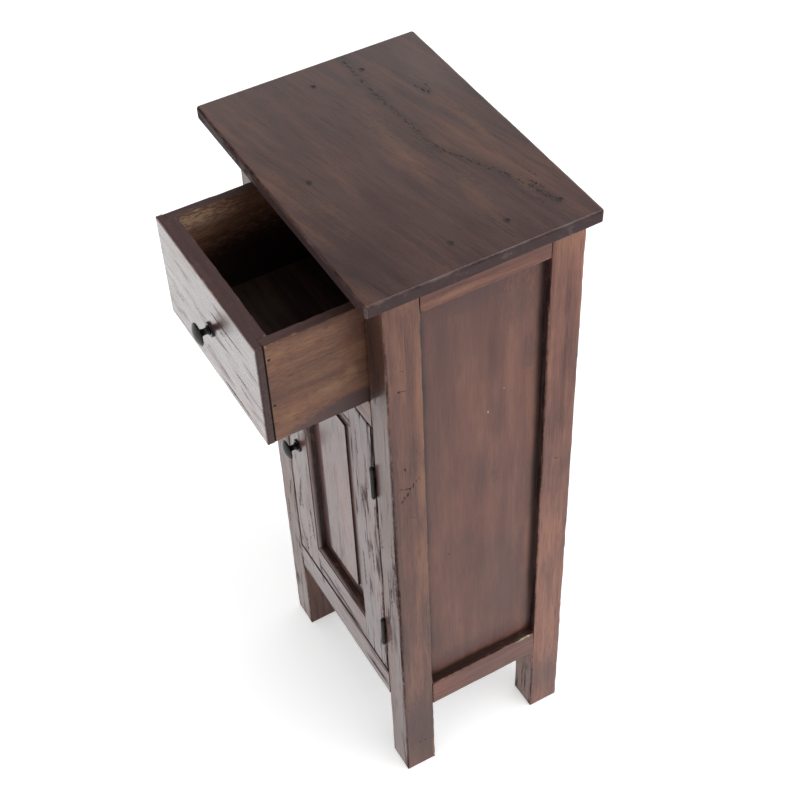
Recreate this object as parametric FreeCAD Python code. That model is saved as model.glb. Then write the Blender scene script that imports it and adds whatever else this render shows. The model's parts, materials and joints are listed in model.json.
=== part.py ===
import FreeCAD, Part
import math
import os

from FreeCAD import Vector

# A tall narrow telephone table: four square posts, a drawer over a cupboard, and a thin top board.
# The frame has X to the right as seen from the front, the front faces -Y, and Z is up.
# The origin is on the floor under the middle of the top board. All sizes are in millimetres.
# The table stands as it is usually shown: the drawer part way out, the cupboard door shut.

# Overall sizes
table_height = 880.0
top_width = 374.0
top_depth = 268.0
top_thickness = 16.0
top_corner_radius = 4.0
top_arris_radius = 2.5
side_overhang = 26.4
front_overhang = 31.0
back_overhang = 1.0

# Posts
post_width = 40.0
post_depth = 42.0
post_arris_radius = 1.0

# Rails, all tenoned into the posts
rail_thickness = 22.0
rail_arris_radius = 0.8
front_top_rail_height = 46.0
front_bottom_rail_low = 133.5
front_bottom_rail_height = 50.5
divider_height = 38.0
divider_depth = 38.0
side_top_rail_height = 47.0
side_bottom_rail_low = 129.0
side_bottom_rail_height = 45.0
tenon_length = 20.0
tenon_thickness = 8.0
tenon_setback = 7.0
tenon_shoulder = 8.0

# Side and back panels, held in grooves
side_panel_thickness = 7.0
side_panel_recess = 10.0
back_panel_thickness = 6.0
back_panel_recess = 8.0
panel_engagement = 6.0
panel_play = 1.0

# Cupboard floor and the cleats under it
floor_thickness = 12.0
cleat_width = 14.0
cleat_height = 16.0

# Drawer runners, guides and kickers
runner_height = 22.0
kicker_height = 18.0
runner_lap = 14.0
runner_overlap = 1.5
guide_height = 16.0
guide_play = 1.0
stub_length = 8.0
stub_thickness = 8.0
stub_height = 10.0

# Drawer, shown part way out
drawer_opening = 118.0
drawer_front_thickness = 20.0
drawer_front_height = 134.5
drawer_top_gap = 4.0
drawer_front_rise = 1.5
drawer_front_arris_radius = 1.2
drawer_lip_thickness = 8.0
drawer_gap = 1.2
drawer_length = 205.0
drawer_side_thickness = 12.0
drawer_side_inset = 1.9
drawer_running_play = 0.3
drawer_bottom_thickness = 5.0
drawer_bottom_rise = 8.0
drawer_groove_depth = 5.0
drawer_front_groove_depth = 6.0
drawer_back_thickness = 12.0
drawer_back_drop = 10.0

# Drawer stops and door stop
drawer_stop_width = 25.0
drawer_stop_depth = 14.0
drawer_stop_height = 5.5
drawer_stop_place_share = 0.6
stop_play = 0.3
door_stop_height = 12.0
door_stop_depth = 14.0
door_stop_end_gap = 3.5

# Door
door_thickness = 22.0
door_gap = 1.2
door_gap_high = 1.5
door_gap_low = 1.5
door_arris_radius = 0.8
stile_face_width = 54.4
door_rail_face_width = 48.0
moulding_quirk = 1.0
moulding_radius = 5.0
door_tenon_length = 26.0
door_tenon_thickness = 6.0
door_tenon_setback = 8.0
door_tenon_shoulder = 12.0
door_panel_tongue_thickness = 6.0
door_panel_tongue_depth = 11.5
door_panel_slope = 1.5
door_panel_field_depth = 7.5
door_panel_border = 29.5
door_panel_engagement = 6.0
door_panel_play = 0.5

# Hinges
hinge_length = 45.0
hinge_end_distance = 86.5
hinge_barrel_radius = 2.7
hinge_pin_radius = 1.4
hinge_pin_play = 0.05
hinge_knuckle_gap = 0.3
hinge_middle_knuckle_share = 0.4
hinge_barrel_clearance = 0.3
hinge_leaf_thickness = 1.0
hinge_leaf_width = 16.0
hinge_cap_thickness = 1.0
hinge_ball_radius = 2.0
hinge_ball_sink = 0.5
hinge_screw_spacing = 15.0
hinge_screw_place_share = 0.55
hinge_screw_length = 14.0

# Knobs
knob_radius = 13.2
knob_projection = 19.5
knob_profile_shares = {
    "rose_radius": 0.66,
    "rose_edge": 0.11,
    "bead_foot_radius": 0.37,
    "bead_radius": 0.43,
    "bead": 0.165,
    "bead_top_radius": 0.33,
    "bead_top": 0.21,
    "waist_radius": 0.27,
    "waist": 0.36,
    "neck_radius": 0.39,
    "neck": 0.59,
    "flare_radius": 0.74,
    "flare": 0.66,
    "rim_inner_radius": 0.96,
    "rim_back": 0.70,
    "rim_middle": 0.76,
    "rim_front": 0.82,
}
knob_bore_share = 0.5
knob_screw_radius = 2.0
knob_screw_head_radius = 4.0
knob_screw_head_height = 2.4
knob_screw_reach_share = 0.45

# Magnetic catch and its strike plate
catch_width = 34.0
catch_end_gap = 8.0
strike_width = 30.0
strike_height = 10.0
strike_thickness = 1.2
strike_drop = 1.5
catch_screw_length = 20.0
strike_screw_length = 10.0
screw_spacing_share = 0.55

# Wood screws, all of one gauge with countersunk slotted heads
screw_radius = 1.4
screw_head_radius = 2.7
screw_head_height = 1.0
screw_slot_width = 0.7
screw_slot_depth = 0.4
fastener_play = 0.05
runner_screw_length = 30.0
cleat_screw_length = 26.0
cleat_screw_share = 0.3

# Nails, and the filler plugs over those in the top
nail_radius = 1.1
nail_head_radius = 1.9
nail_head_height = 0.8
drawer_nail_length = 28.0
drawer_nail_drop_shares = (0.155, 0.63)
bottom_nail_length = 15.0
bottom_nail_share = 0.5
top_nail_length = 38.0
top_plug_radius = 2.2
top_plug_depth = 3.0
top_nail_left_shares = (0.39, 0.644)
top_nail_right_shares = (0.356, 0.629, 0.888)
top_nail_front_share = -0.04

# Places worked out from the sizes above
case_half = top_width / 2 - side_overhang
opening_half = case_half - post_width
front_y = -top_depth / 2 + front_overhang
back_y = top_depth / 2 - back_overhang
post_top = table_height - top_thickness
front_post_back = front_y + post_depth
rear_post_front = back_y - post_depth
rail_inner_half = case_half - rail_thickness
front_rail_back = front_y + rail_thickness
back_rail_front = back_y - rail_thickness
front_top_rail_low = post_top - front_top_rail_height
drawer_front_high = front_top_rail_low - drawer_top_gap
drawer_front_low = drawer_front_high - drawer_front_height
divider_high = drawer_front_low - drawer_front_rise
divider_low = divider_high - divider_height
divider_back = front_y + divider_depth
front_bottom_rail_high = front_bottom_rail_low + front_bottom_rail_height
side_top_rail_low = post_top - side_top_rail_height
side_bottom_rail_high = side_bottom_rail_low + side_bottom_rail_height
floor_low = front_bottom_rail_high - floor_thickness

drawer_face_y = front_y - drawer_opening
drawer_end_y = drawer_face_y + drawer_length
drawer_front_half = opening_half - drawer_gap
drawer_box_half = drawer_front_half - drawer_side_inset
drawer_inner_half = drawer_box_half - drawer_side_thickness
drawer_side_low = divider_high + drawer_running_play
drawer_bottom_low = drawer_side_low + drawer_bottom_rise
drawer_bottom_high = drawer_bottom_low + drawer_bottom_thickness
runner_inner = drawer_inner_half - runner_overlap
runner_outer = opening_half + runner_lap

door_half = opening_half - door_gap
door_low = front_bottom_rail_high + door_gap_low
door_high = divider_low - door_gap_high
door_back_y = front_y + door_thickness
face_opening_half = door_half - stile_face_width
face_opening_low = door_low + door_rail_face_width
face_opening_high = door_high - door_rail_face_width

door_knob_face = Vector(stile_face_width / 2 - door_half, front_y, (door_low + door_high) / 2)
drawer_knob_face = Vector(0, drawer_face_y, (drawer_front_low + drawer_front_high) / 2)

hinge_x = (opening_half + door_half) / 2
hinge_y = front_y - hinge_barrel_clearance - hinge_barrel_radius
hinge_heights = {
    "upper": door_high - hinge_end_distance,
    "lower": door_low + hinge_end_distance,
}

# How close two places count as one, and how nearly an edge lies along an axis
tolerance = 0.001
along_axis_share = 0.999

full_turn = 360.0
cubic_mm_per_cubic_cm = 1000.0

RIGHT = 1
LEFT = -1
SIDES = {"left": LEFT, "right": RIGHT}

ORIGIN = Vector(0, 0, 0)
X_AXIS = Vector(1, 0, 0)
Y_AXIS = Vector(0, 1, 0)
Z_AXIS = Vector(0, 0, 1)

pieces = {}


def block(x_range, y_range, z_range):
    """A square-cornered block between two opposite corners, given in any order."""
    low = Vector(min(x_range), min(y_range), min(z_range))
    high = Vector(max(x_range), max(y_range), max(z_range))
    size = high - low
    return Part.makeBox(size.x, size.y, size.z, low)


def edges_along(shape, axis):
    """The straight edges of a shape that run along one axis."""
    found = []
    for edge in shape.Edges:
        straight = isinstance(edge.Curve, Part.Line)
        if straight and abs(edge.Curve.Direction.dot(axis)) > along_axis_share:
            found.append(edge)
    return found


def eased(shape, axis, radius):
    """The shape with its long arrises along one axis rounded over."""
    return shape.makeFillet(radius, edges_along(shape, axis))


def rod(start, direction, radius, length):
    """A round bar from a start point."""
    return Part.makeCylinder(radius, length, start, direction)


def join_tenon(rail, post, tenon):
    """Adds a tenon to a rail and sinks the mortise that it fills into the post."""
    pieces[rail] = pieces[rail].fuse(tenon).removeSplitter()
    pieces[post] = pieces[post].cut(tenon)


def cut_from(names, tool):
    """Cuts one shape out of several pieces."""
    for name in names:
        pieces[name] = pieces[name].cut(tool)


def make_top():
    """The top board: small rounded corners in plan, and a soft arris above and below."""
    board = block(
        (-top_width / 2, top_width / 2), (-top_depth / 2, top_depth / 2), (post_top, table_height)
    )
    board = eased(board, Z_AXIS, top_corner_radius)
    rim = []
    for edge in board.Edges:
        heights = [vertex.Point.z for vertex in edge.Vertexes]
        if max(heights) - min(heights) < top_thickness / 2:
            rim.append(edge)
    pieces["top_board"] = board.makeFillet(top_arris_radius, rim)


def make_posts():
    """Four square posts that run from the floor to the underside of the top."""
    for side_name, side in SIDES.items():
        for end, y_range in (
            ("front", (front_y, front_post_back)),
            ("rear", (rear_post_front, back_y)),
        ):
            post = block((side * opening_half, side * case_half), y_range, (0, post_top))
            pieces[f"{end}_{side_name}_post"] = eased(post, Z_AXIS, post_arris_radius)


def make_cross_rails():
    """Rails that run from left to right, front and back, with a tenon at each end."""
    rails = {
        "front_top_rail": ("front", front_top_rail_low, post_top, rail_thickness),
        "drawer_divider_rail": ("front", divider_low, divider_high, divider_depth),
        "front_bottom_rail": ("front", front_bottom_rail_low, front_bottom_rail_high, rail_thickness),
        "back_top_rail": ("rear", side_top_rail_low, post_top, rail_thickness),
        "back_bottom_rail": ("rear", side_bottom_rail_low, side_bottom_rail_high, rail_thickness),
    }
    for name, (end, low, high, depth) in rails.items():
        inward = 1 if end == "front" else -1
        face = front_y if end == "front" else back_y
        rail = block((-opening_half, opening_half), (face, face + inward * depth), (low, high))
        pieces[name] = eased(rail, X_AXIS, rail_arris_radius)
        tenon_face = face + inward * tenon_setback
        for side_name, side in SIDES.items():
            tenon = block(
                (side * opening_half, side * (opening_half + tenon_length)),
                (tenon_face, tenon_face + inward * tenon_thickness),
                (low + tenon_shoulder, high - tenon_shoulder),
            )
            join_tenon(name, f"{end}_{side_name}_post", tenon)


def make_side_rails():
    """Rails that run from front to back on each side, flush with the posts."""
    for side_name, side in SIDES.items():
        for level, low, high in (
            ("top", side_top_rail_low, post_top),
            ("bottom", side_bottom_rail_low, side_bottom_rail_high),
        ):
            name = f"{side_name}_{level}_rail"
            rail = block(
                (side * rail_inner_half, side * case_half), (front_post_back, rear_post_front), (low, high)
            )
            pieces[name] = eased(rail, Y_AXIS, rail_arris_radius)
            tenon_outer = case_half - tenon_setback
            for end, shoulder, outward in (
                ("front", front_post_back, -1),
                ("rear", rear_post_front, 1),
            ):
                tenon = block(
                    (side * tenon_outer, side * (tenon_outer - tenon_thickness)),
                    (shoulder, shoulder + outward * tenon_length),
                    (low + tenon_shoulder, high - tenon_shoulder),
                )
                join_tenon(name, f"{end}_{side_name}_post", tenon)


def make_side_panels():
    """A thin panel on each side, set back in grooves in the posts and the side rails."""
    outer = case_half - side_panel_recess
    inner = outer - side_panel_thickness
    groove_depth = panel_engagement + panel_play
    for side_name, side in SIDES.items():
        x_range = (side * inner, side * outer)
        pieces[f"{side_name}_side_panel"] = block(
            x_range,
            (front_post_back - panel_engagement, rear_post_front + panel_engagement),
            (side_bottom_rail_high - panel_engagement, side_top_rail_low + panel_engagement),
        )
        groove = block(
            x_range,
            (front_post_back - groove_depth, rear_post_front + groove_depth),
            (side_bottom_rail_high - groove_depth, side_top_rail_low + groove_depth),
        )
        around = [f"front_{side_name}_post", f"rear_{side_name}_post"]
        around += [f"{side_name}_top_rail", f"{side_name}_bottom_rail"]
        cut_from(around, groove)


def make_back_panel():
    """A thin panel behind, set in grooves in the rear posts and the back rails."""
    y_range = (back_y - back_panel_recess - back_panel_thickness, back_y - back_panel_recess)
    groove_depth = panel_engagement + panel_play
    pieces["back_panel"] = block(
        (-opening_half - panel_engagement, opening_half + panel_engagement),
        y_range,
        (side_bottom_rail_high - panel_engagement, side_top_rail_low + panel_engagement),
    )
    groove = block(
        (-opening_half - groove_depth, opening_half + groove_depth),
        y_range,
        (side_bottom_rail_high - groove_depth, side_top_rail_low + groove_depth),
    )
    cut_from(["rear_left_post", "rear_right_post", "back_top_rail", "back_bottom_rail"], groove)


def notch_round_posts(shape):
    """Cuts a piece that lies inside the case back from the four posts."""
    for side in SIDES.values():
        for y_range in ((front_y, front_post_back), (rear_post_front, back_y)):
            shape = shape.cut(block((side * opening_half, side * case_half), y_range, (0, post_top)))
    return shape


def make_floor():
    """The cupboard floor, notched round the posts, on a cleat at each side."""
    floor = block(
        (-rail_inner_half, rail_inner_half),
        (front_rail_back, back_rail_front),
        (floor_low, front_bottom_rail_high),
    )
    pieces["cupboard_floor"] = notch_round_posts(floor)
    for side_name, side in SIDES.items():
        pieces[f"{side_name}_floor_cleat"] = block(
            (side * (rail_inner_half - cleat_width), side * rail_inner_half),
            (front_post_back, rear_post_front),
            (floor_low - cleat_height, floor_low),
        )


def make_drawer_supports():
    """Runners under the drawer sides, kickers over them, and guides beside them."""
    runner_low = divider_high - runner_height
    kicker_high = front_top_rail_low + kicker_height
    for side_name, side in SIDES.items():
        strip_x = (side * runner_inner, side * runner_outer)
        for kind, host, start_y, low, high in (
            ("runner", "drawer_divider_rail", divider_back, runner_low, divider_high),
            ("kicker", "front_top_rail", front_rail_back, front_top_rail_low, kicker_high),
        ):
            name = f"{side_name}_drawer_{kind}"
            strip = block(strip_x, (start_y, back_rail_front), (low, high))
            pieces[name] = notch_round_posts(strip)
            stub_x = (runner_inner + opening_half) / 2
            stub_z = (low + high) / 2
            stub = block(
                (side * (stub_x - stub_thickness / 2), side * (stub_x + stub_thickness / 2)),
                (start_y - stub_length, start_y),
                (stub_z - stub_height / 2, stub_z + stub_height / 2),
            )
            join_tenon(name, host, stub)
        pieces[f"{side_name}_drawer_guide"] = block(
            (side * (drawer_box_half + guide_play), side * runner_outer),
            (front_post_back, rear_post_front),
            (divider_high, divider_high + guide_height),
        )


def make_stops():
    """Two small stops on the divider for the drawer, and a batten under it for the door."""
    stop_start = front_y + drawer_front_thickness + stop_play
    stops = []
    for side in SIDES.values():
        middle = side * drawer_stop_place_share * opening_half
        stops.append(
            block(
                (middle - drawer_stop_width / 2, middle + drawer_stop_width / 2),
                (stop_start, stop_start + drawer_stop_depth),
                (divider_high, divider_high + drawer_stop_height),
            )
        )
    pieces["drawer_stops"] = Part.makeCompound(stops)
    batten_start = door_back_y + stop_play
    catch_left = -opening_half + catch_end_gap
    pieces["door_stop"] = block(
        (catch_left + catch_width + door_stop_end_gap, opening_half - door_stop_end_gap),
        (batten_start, batten_start + door_stop_depth),
        (divider_low - door_stop_height, divider_low),
    )
    pieces["door_catch"] = block(
        (catch_left, catch_left + catch_width),
        (batten_start, batten_start + door_stop_depth),
        (divider_low - door_stop_height, divider_low),
    )


def front_arrises(shape, axis, y):
    """The edges of a shape along one axis that lie at one distance front to back."""
    return [edge for edge in edges_along(shape, axis) if abs(edge.CenterOfMass.y - y) < tolerance]


def make_moulding(corner, inward, run):
    """The quarter-round bead along one inner edge of the door frame, mitred at both ends."""
    def at(reach, depth):
        return corner + inward * reach + Y_AXIS * depth

    diagonal = moulding_radius * math.sqrt(1 / 2)
    deep = moulding_quirk + moulding_radius
    start = at(0, moulding_quirk)
    middle = at(diagonal, deep - diagonal)
    end = at(moulding_radius, deep)
    back_end = at(moulding_radius, door_thickness)
    back_start = at(0, door_thickness)
    outline = [
        Part.Arc(start, middle, end).toShape(),
        Part.makeLine(end, back_end),
        Part.makeLine(back_end, back_start),
        Part.makeLine(back_start, start),
    ]
    strip = Part.Face(Part.Wire(outline)).extrude(run)
    step = Vector(run).normalize() * moulding_radius
    lift = inward * moulding_radius
    corners = [corner, corner + run, corner + run + lift - step, corner + lift + step, corner]
    mitre = Part.Face(Part.makePolygon(corners)).extrude(Y_AXIS * door_thickness)
    return strip.common(mitre)


def make_door_frame():
    """Two stiles and two rails with a quirked bead round the opening, tenoned and grooved."""
    y_range = (front_y, door_back_y)
    for side, name in ((RIGHT, "door_hinge_stile"), (LEFT, "door_latch_stile")):
        stile = block((side * face_opening_half, side * door_half), y_range, (door_low, door_high))
        stile = stile.makeFillet(door_arris_radius, front_arrises(stile, Z_AXIS, front_y))
        corner = Vector(side * face_opening_half, front_y, face_opening_low)
        bead = make_moulding(corner, X_AXIS * -side, Z_AXIS * (face_opening_high - face_opening_low))
        pieces[name] = stile.fuse(bead).removeSplitter()
    for name, low, high, edge_z, inward in (
        ("door_top_rail", face_opening_high, door_high, face_opening_high, Z_AXIS * -1),
        ("door_bottom_rail", door_low, face_opening_low, face_opening_low, Z_AXIS),
    ):
        rail = block((-face_opening_half, face_opening_half), y_range, (low, high))
        rail = rail.makeFillet(door_arris_radius, front_arrises(rail, X_AXIS, front_y))
        corner = Vector(-face_opening_half, front_y, edge_z)
        bead = make_moulding(corner, inward, X_AXIS * (face_opening_half + face_opening_half))
        pieces[name] = rail.fuse(bead).removeSplitter()
        for side, stile_name in ((RIGHT, "door_hinge_stile"), (LEFT, "door_latch_stile")):
            tenon = block(
                (side * face_opening_half, side * (face_opening_half + door_tenon_length)),
                (front_y + door_tenon_setback, front_y + door_tenon_setback + door_tenon_thickness),
                (low + door_tenon_shoulder, high - door_tenon_shoulder),
            )
            join_tenon(name, stile_name, tenon)
    inner_half = face_opening_half - moulding_radius
    reach = door_panel_engagement + door_panel_play
    groove_y = front_y + door_panel_tongue_depth
    groove = block(
        (-inner_half - reach, inner_half + reach),
        (groove_y, groove_y + door_panel_tongue_thickness),
        (face_opening_low + moulding_radius - reach, face_opening_high - moulding_radius + reach),
    )
    cut_from(["door_hinge_stile", "door_latch_stile", "door_top_rail", "door_bottom_rail"], groove)


def rectangle(half_width, low, high, y):
    """An upright rectangle, centred from left to right."""
    corners = [
        Vector(-half_width, y, low),
        Vector(half_width, y, low),
        Vector(half_width, y, high),
        Vector(-half_width, y, high),
    ]
    return Part.makePolygon(corners + corners[:1])


def make_door_panel():
    """The raised panel: a thin tongue all round, a sloping border, and a flat raised field."""
    inner_half = face_opening_half - moulding_radius
    inner_low = face_opening_low + moulding_radius
    inner_high = face_opening_high - moulding_radius
    tongue_y = front_y + door_panel_tongue_depth
    slope_y = tongue_y - door_panel_slope
    field_half = face_opening_half - door_panel_border
    field_low = face_opening_low + door_panel_border
    field_high = face_opening_high - door_panel_border
    tongue = block(
        (-inner_half - door_panel_engagement, inner_half + door_panel_engagement),
        (tongue_y, tongue_y + door_panel_tongue_thickness),
        (inner_low - door_panel_engagement, inner_high + door_panel_engagement),
    )
    slope = Part.makeLoft(
        [
            rectangle(inner_half, inner_low, inner_high, tongue_y),
            rectangle(field_half, field_low, field_high, slope_y),
        ],
        True,
        True,
    )
    field_y = front_y + door_panel_field_depth
    field = block((-field_half, field_half), (field_y, slope_y), (field_low, field_high))
    pieces["door_panel"] = tongue.fuse([slope, field]).removeSplitter()


def make_drawer():
    """The drawer box: a front that laps over its sides, a let-in bottom, and a low back."""
    lip_back = drawer_face_y + drawer_lip_thickness
    front_back = drawer_face_y + drawer_front_thickness
    front = block(
        (-drawer_front_half, drawer_front_half),
        (drawer_face_y, front_back),
        (drawer_front_low, drawer_front_high),
    )
    face_edges = front_arrises(front, X_AXIS, drawer_face_y) + front_arrises(front, Z_AXIS, drawer_face_y)
    pieces["drawer_front"] = front.makeFillet(drawer_front_arris_radius, face_edges)
    for side_name, side in SIDES.items():
        rabbet = block(
            (side * drawer_inner_half, side * opening_half),
            (lip_back, front_back),
            (drawer_side_low, drawer_front_high),
        )
        cut_from(["drawer_front"], rabbet)
        pieces[f"drawer_{side_name}_side"] = block(
            (side * drawer_inner_half, side * drawer_box_half),
            (lip_back, drawer_end_y),
            (drawer_side_low, drawer_front_high),
        )
    bottom = block(
        (-drawer_inner_half - drawer_groove_depth, drawer_inner_half + drawer_groove_depth),
        (front_back - drawer_front_groove_depth, drawer_end_y),
        (drawer_bottom_low, drawer_bottom_high),
    )
    pieces["drawer_bottom"] = bottom
    cut_from(["drawer_front", "drawer_left_side", "drawer_right_side"], bottom)
    pieces["drawer_back"] = block(
        (-drawer_inner_half, drawer_inner_half),
        (drawer_end_y - drawer_back_thickness, drawer_end_y),
        (drawer_bottom_high, drawer_front_high - drawer_back_drop),
    )


def make_hinges():
    """Two butt hinges whose barrels stand just clear of the front, with ball-ended pins."""
    half = hinge_length / 2
    middle = hinge_middle_knuckle_share * half
    outer = middle + hinge_knuckle_gap
    bore_radius = hinge_pin_radius + hinge_pin_play
    leaves = {
        "case": (opening_half, opening_half + hinge_leaf_thickness, ((-half, -outer), (outer, half))),
        "door": (door_half, door_half - hinge_leaf_thickness, ((-middle, middle),)),
    }
    hosts = {"case": "front_right_post", "door": "door_hinge_stile"}
    leaf_y = (front_y, front_y + hinge_leaf_width)
    for level, height in hinge_heights.items():
        foot = Vector(hinge_x, hinge_y, height)
        for kind, (gap_x, wood_x, knuckles) in leaves.items():
            plate = block((gap_x, wood_x), leaf_y, (height - half, height + half))
            cut_from([hosts[kind]], plate)
            for low, high in knuckles:
                tube = rod(foot + Z_AXIS * low, Z_AXIS, hinge_barrel_radius, high - low)
                tab = block((gap_x, wood_x), (hinge_y, front_y), (height + low, height + high))
                plate = plate.fuse([tube, tab])
            bore = rod(foot - Z_AXIS * hinge_length, Z_AXIS, bore_radius, hinge_length + hinge_length)
            pieces[f"{level}_hinge_{kind}_leaf"] = plate.cut(bore).removeSplitter()
        reach = half + hinge_cap_thickness
        pin = rod(foot - Z_AXIS * reach, Z_AXIS, hinge_pin_radius, reach + reach)
        for up in (1, -1):
            cap = rod(foot + Z_AXIS * (up * half), Z_AXIS * up, hinge_barrel_radius, hinge_cap_thickness)
            ball_centre = foot + Z_AXIS * (up * (reach + hinge_ball_radius - hinge_ball_sink))
            pin = pin.fuse([cap, Part.makeSphere(hinge_ball_radius, ball_centre)])
        pieces[f"{level}_hinge_pin"] = pin.removeSplitter()


def make_knob_body():
    """A turned knob standing on its rose, its axis along +Z: rose, bead, waist and domed disc."""
    def at(radius_name, height_name):
        radius_share = knob_profile_shares[radius_name]
        height_share = knob_profile_shares[height_name]
        return Vector(radius_share * knob_radius, 0, height_share * knob_projection)

    tip = Z_AXIS * knob_projection
    rose_foot = Vector(at("rose_radius", "rose_edge").x, 0, 0)
    rose_edge = at("rose_radius", "rose_edge")
    bead_foot = at("bead_foot_radius", "rose_edge")
    bead = at("bead_radius", "bead")
    bead_top = at("bead_top_radius", "bead_top")
    waist = at("waist_radius", "waist")
    neck = at("neck_radius", "neck")
    flare = at("flare_radius", "flare")
    rim_back = at("rim_inner_radius", "rim_back")
    rim_middle = Vector(knob_radius, 0, knob_profile_shares["rim_middle"] * knob_projection)
    rim_front = at("rim_inner_radius", "rim_front")
    rise = tip.z - rim_front.z
    dome_radius = (rim_front.x ** 2 + rise ** 2) / (rise + rise)
    half_angle = math.asin(rim_front.x / dome_radius) / 2
    dome_middle = Vector(
        dome_radius * math.sin(half_angle), 0, tip.z - dome_radius * (1 - math.cos(half_angle))
    )
    outline = [
        Part.makeLine(ORIGIN, rose_foot),
        Part.makeLine(rose_foot, rose_edge),
        Part.makeLine(rose_edge, bead_foot),
        Part.Arc(bead_foot, bead, bead_top).toShape(),
        Part.Arc(bead_top, waist, neck).toShape(),
        Part.Arc(neck, flare, rim_back).toShape(),
        Part.Arc(rim_back, rim_middle, rim_front).toShape(),
        Part.Arc(rim_front, dome_middle, tip).toShape(),
        Part.makeLine(tip, ORIGIN),
    ]
    body = Part.Face(Part.Wire(outline)).revolve(ORIGIN, Z_AXIS, full_turn)
    bore = rod(ORIGIN, Z_AXIS, knob_screw_radius + fastener_play, knob_bore_share * knob_projection)
    return body.cut(bore)


def placed(shape, point, direction):
    """A shape drawn along +Z, moved to a point and turned to a direction."""
    copy = shape.copy()
    copy.Placement = FreeCAD.Placement(point, FreeCAD.Rotation(Z_AXIS, direction))
    return copy


def make_knob(name, face, thickness, host):
    """A knob on a wooden face, and the screw that holds it from behind."""
    pieces[f"{name}_knob"] = placed(make_knob_body(), face, Y_AXIS * -1)
    back = face + Y_AXIS * thickness
    reach = thickness + knob_screw_reach_share * knob_projection
    shank = rod(back, Y_AXIS * -1, knob_screw_radius, reach)
    head = rod(back, Y_AXIS, knob_screw_head_radius, knob_screw_head_height)
    pieces[f"{name}_knob_screw"] = shank.fuse(head).removeSplitter()
    cut_from([host], rod(back, Y_AXIS * -1, knob_screw_radius + fastener_play, thickness))


def make_screw(length, play):
    """A countersunk wood screw along +Z with its head at the origin, or the hole for it."""
    head = Part.makeCone(screw_head_radius + play, screw_radius + play, screw_head_height)
    shank = rod(ORIGIN, Z_AXIS, screw_radius + play, length + play)
    screw = head.fuse(shank).removeSplitter()
    if play:
        return screw
    slot = block(
        (-screw_head_radius, screw_head_radius),
        (-screw_slot_width / 2, screw_slot_width / 2),
        (0, screw_slot_depth),
    )
    return screw.cut(slot)


def make_nail(length, play):
    """A flat-headed nail along +Z with its head at the origin, or the hole for it."""
    head = rod(ORIGIN, Z_AXIS, nail_head_radius + play, nail_head_height + play)
    shank = rod(ORIGIN, Z_AXIS, nail_radius + play, length + play)
    return head.fuse(shank).removeSplitter()


def fasten(node, make, places):
    """Drives a set of like fasteners, each cut out of the pieces that it passes through."""
    solids = []
    for point, direction, length, names in places:
        solids.append(placed(make(length, 0), point, direction))
        cut_from(names, placed(make(length, fastener_play), point, direction))
    pieces[node] = Part.makeCompound(solids)


def make_hinge_screws():
    """Three countersunk screws through each hinge leaf."""
    screw_y = front_y + hinge_screw_place_share * hinge_leaf_width
    for kind, face_x, direction, host in (
        ("case", opening_half, X_AXIS, "front_right_post"),
        ("door", door_half, X_AXIS * -1, "door_hinge_stile"),
    ):
        places = []
        for level, height in hinge_heights.items():
            for row in (-1, 0, 1):
                point = Vector(face_x, screw_y, height + row * hinge_screw_spacing)
                names = [host, f"{level}_hinge_{kind}_leaf"]
                places.append((point, direction, hinge_screw_length, names))
        fasten(f"hinge_{kind}_screws", make_screw, places)


def make_case_screws():
    """Screws that hold the runners and kickers to the rear posts, and the cleats to the rails."""
    inner_places = []
    cleat_places = []
    post_y = (rear_post_front + back_rail_front) / 2
    cleat_run = rear_post_front - front_post_back
    for side_name, side in SIDES.items():
        post = f"rear_{side_name}_post"
        for kind, middle in (
            ("runner", divider_high - runner_height / 2),
            ("kicker", front_top_rail_low + kicker_height / 2),
        ):
            point = Vector(side * runner_inner, post_y, middle)
            names = [f"{side_name}_drawer_{kind}", post]
            inner_places.append((point, X_AXIS * side, runner_screw_length, names))
        for share in (cleat_screw_share, 1 - cleat_screw_share):
            point = Vector(
                side * (rail_inner_half - cleat_width),
                front_post_back + share * cleat_run,
                floor_low - cleat_height / 2,
            )
            names = [f"{side_name}_floor_cleat", f"{side_name}_bottom_rail"]
            cleat_places.append((point, X_AXIS * side, cleat_screw_length, names))
    fasten("runner_and_kicker_screws", make_screw, inner_places)
    fasten("cleat_screws", make_screw, cleat_places)


def make_catch():
    """The strike plate let into the back of the door, and the screws of plate and catch."""
    catch_middle = -opening_half + catch_end_gap + catch_width / 2
    strike_high = door_high - strike_drop
    plate = block(
        (catch_middle - strike_width / 2, catch_middle + strike_width / 2),
        (door_back_y - strike_thickness, door_back_y),
        (strike_high - strike_height, strike_high),
    )
    pieces["door_strike_plate"] = plate
    cut_from(["door_latch_stile"], plate)
    catch_places = []
    strike_places = []
    catch_y = door_back_y + stop_play + door_stop_depth / 2
    for side in SIDES.values():
        catch_x = catch_middle + side * screw_spacing_share * catch_width / 2
        strike_x = catch_middle + side * screw_spacing_share * strike_width / 2
        catch_point = Vector(catch_x, catch_y, divider_low - door_stop_height)
        strike_point = Vector(strike_x, door_back_y, strike_high - strike_height / 2)
        catch_names = ["door_catch", "drawer_divider_rail"]
        strike_names = ["door_strike_plate", "door_latch_stile"]
        catch_places.append((catch_point, Z_AXIS, catch_screw_length, catch_names))
        strike_places.append((strike_point, Y_AXIS * -1, strike_screw_length, strike_names))
    fasten("catch_screws", make_screw, catch_places)
    fasten("strike_screws", make_screw, strike_places)


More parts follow.
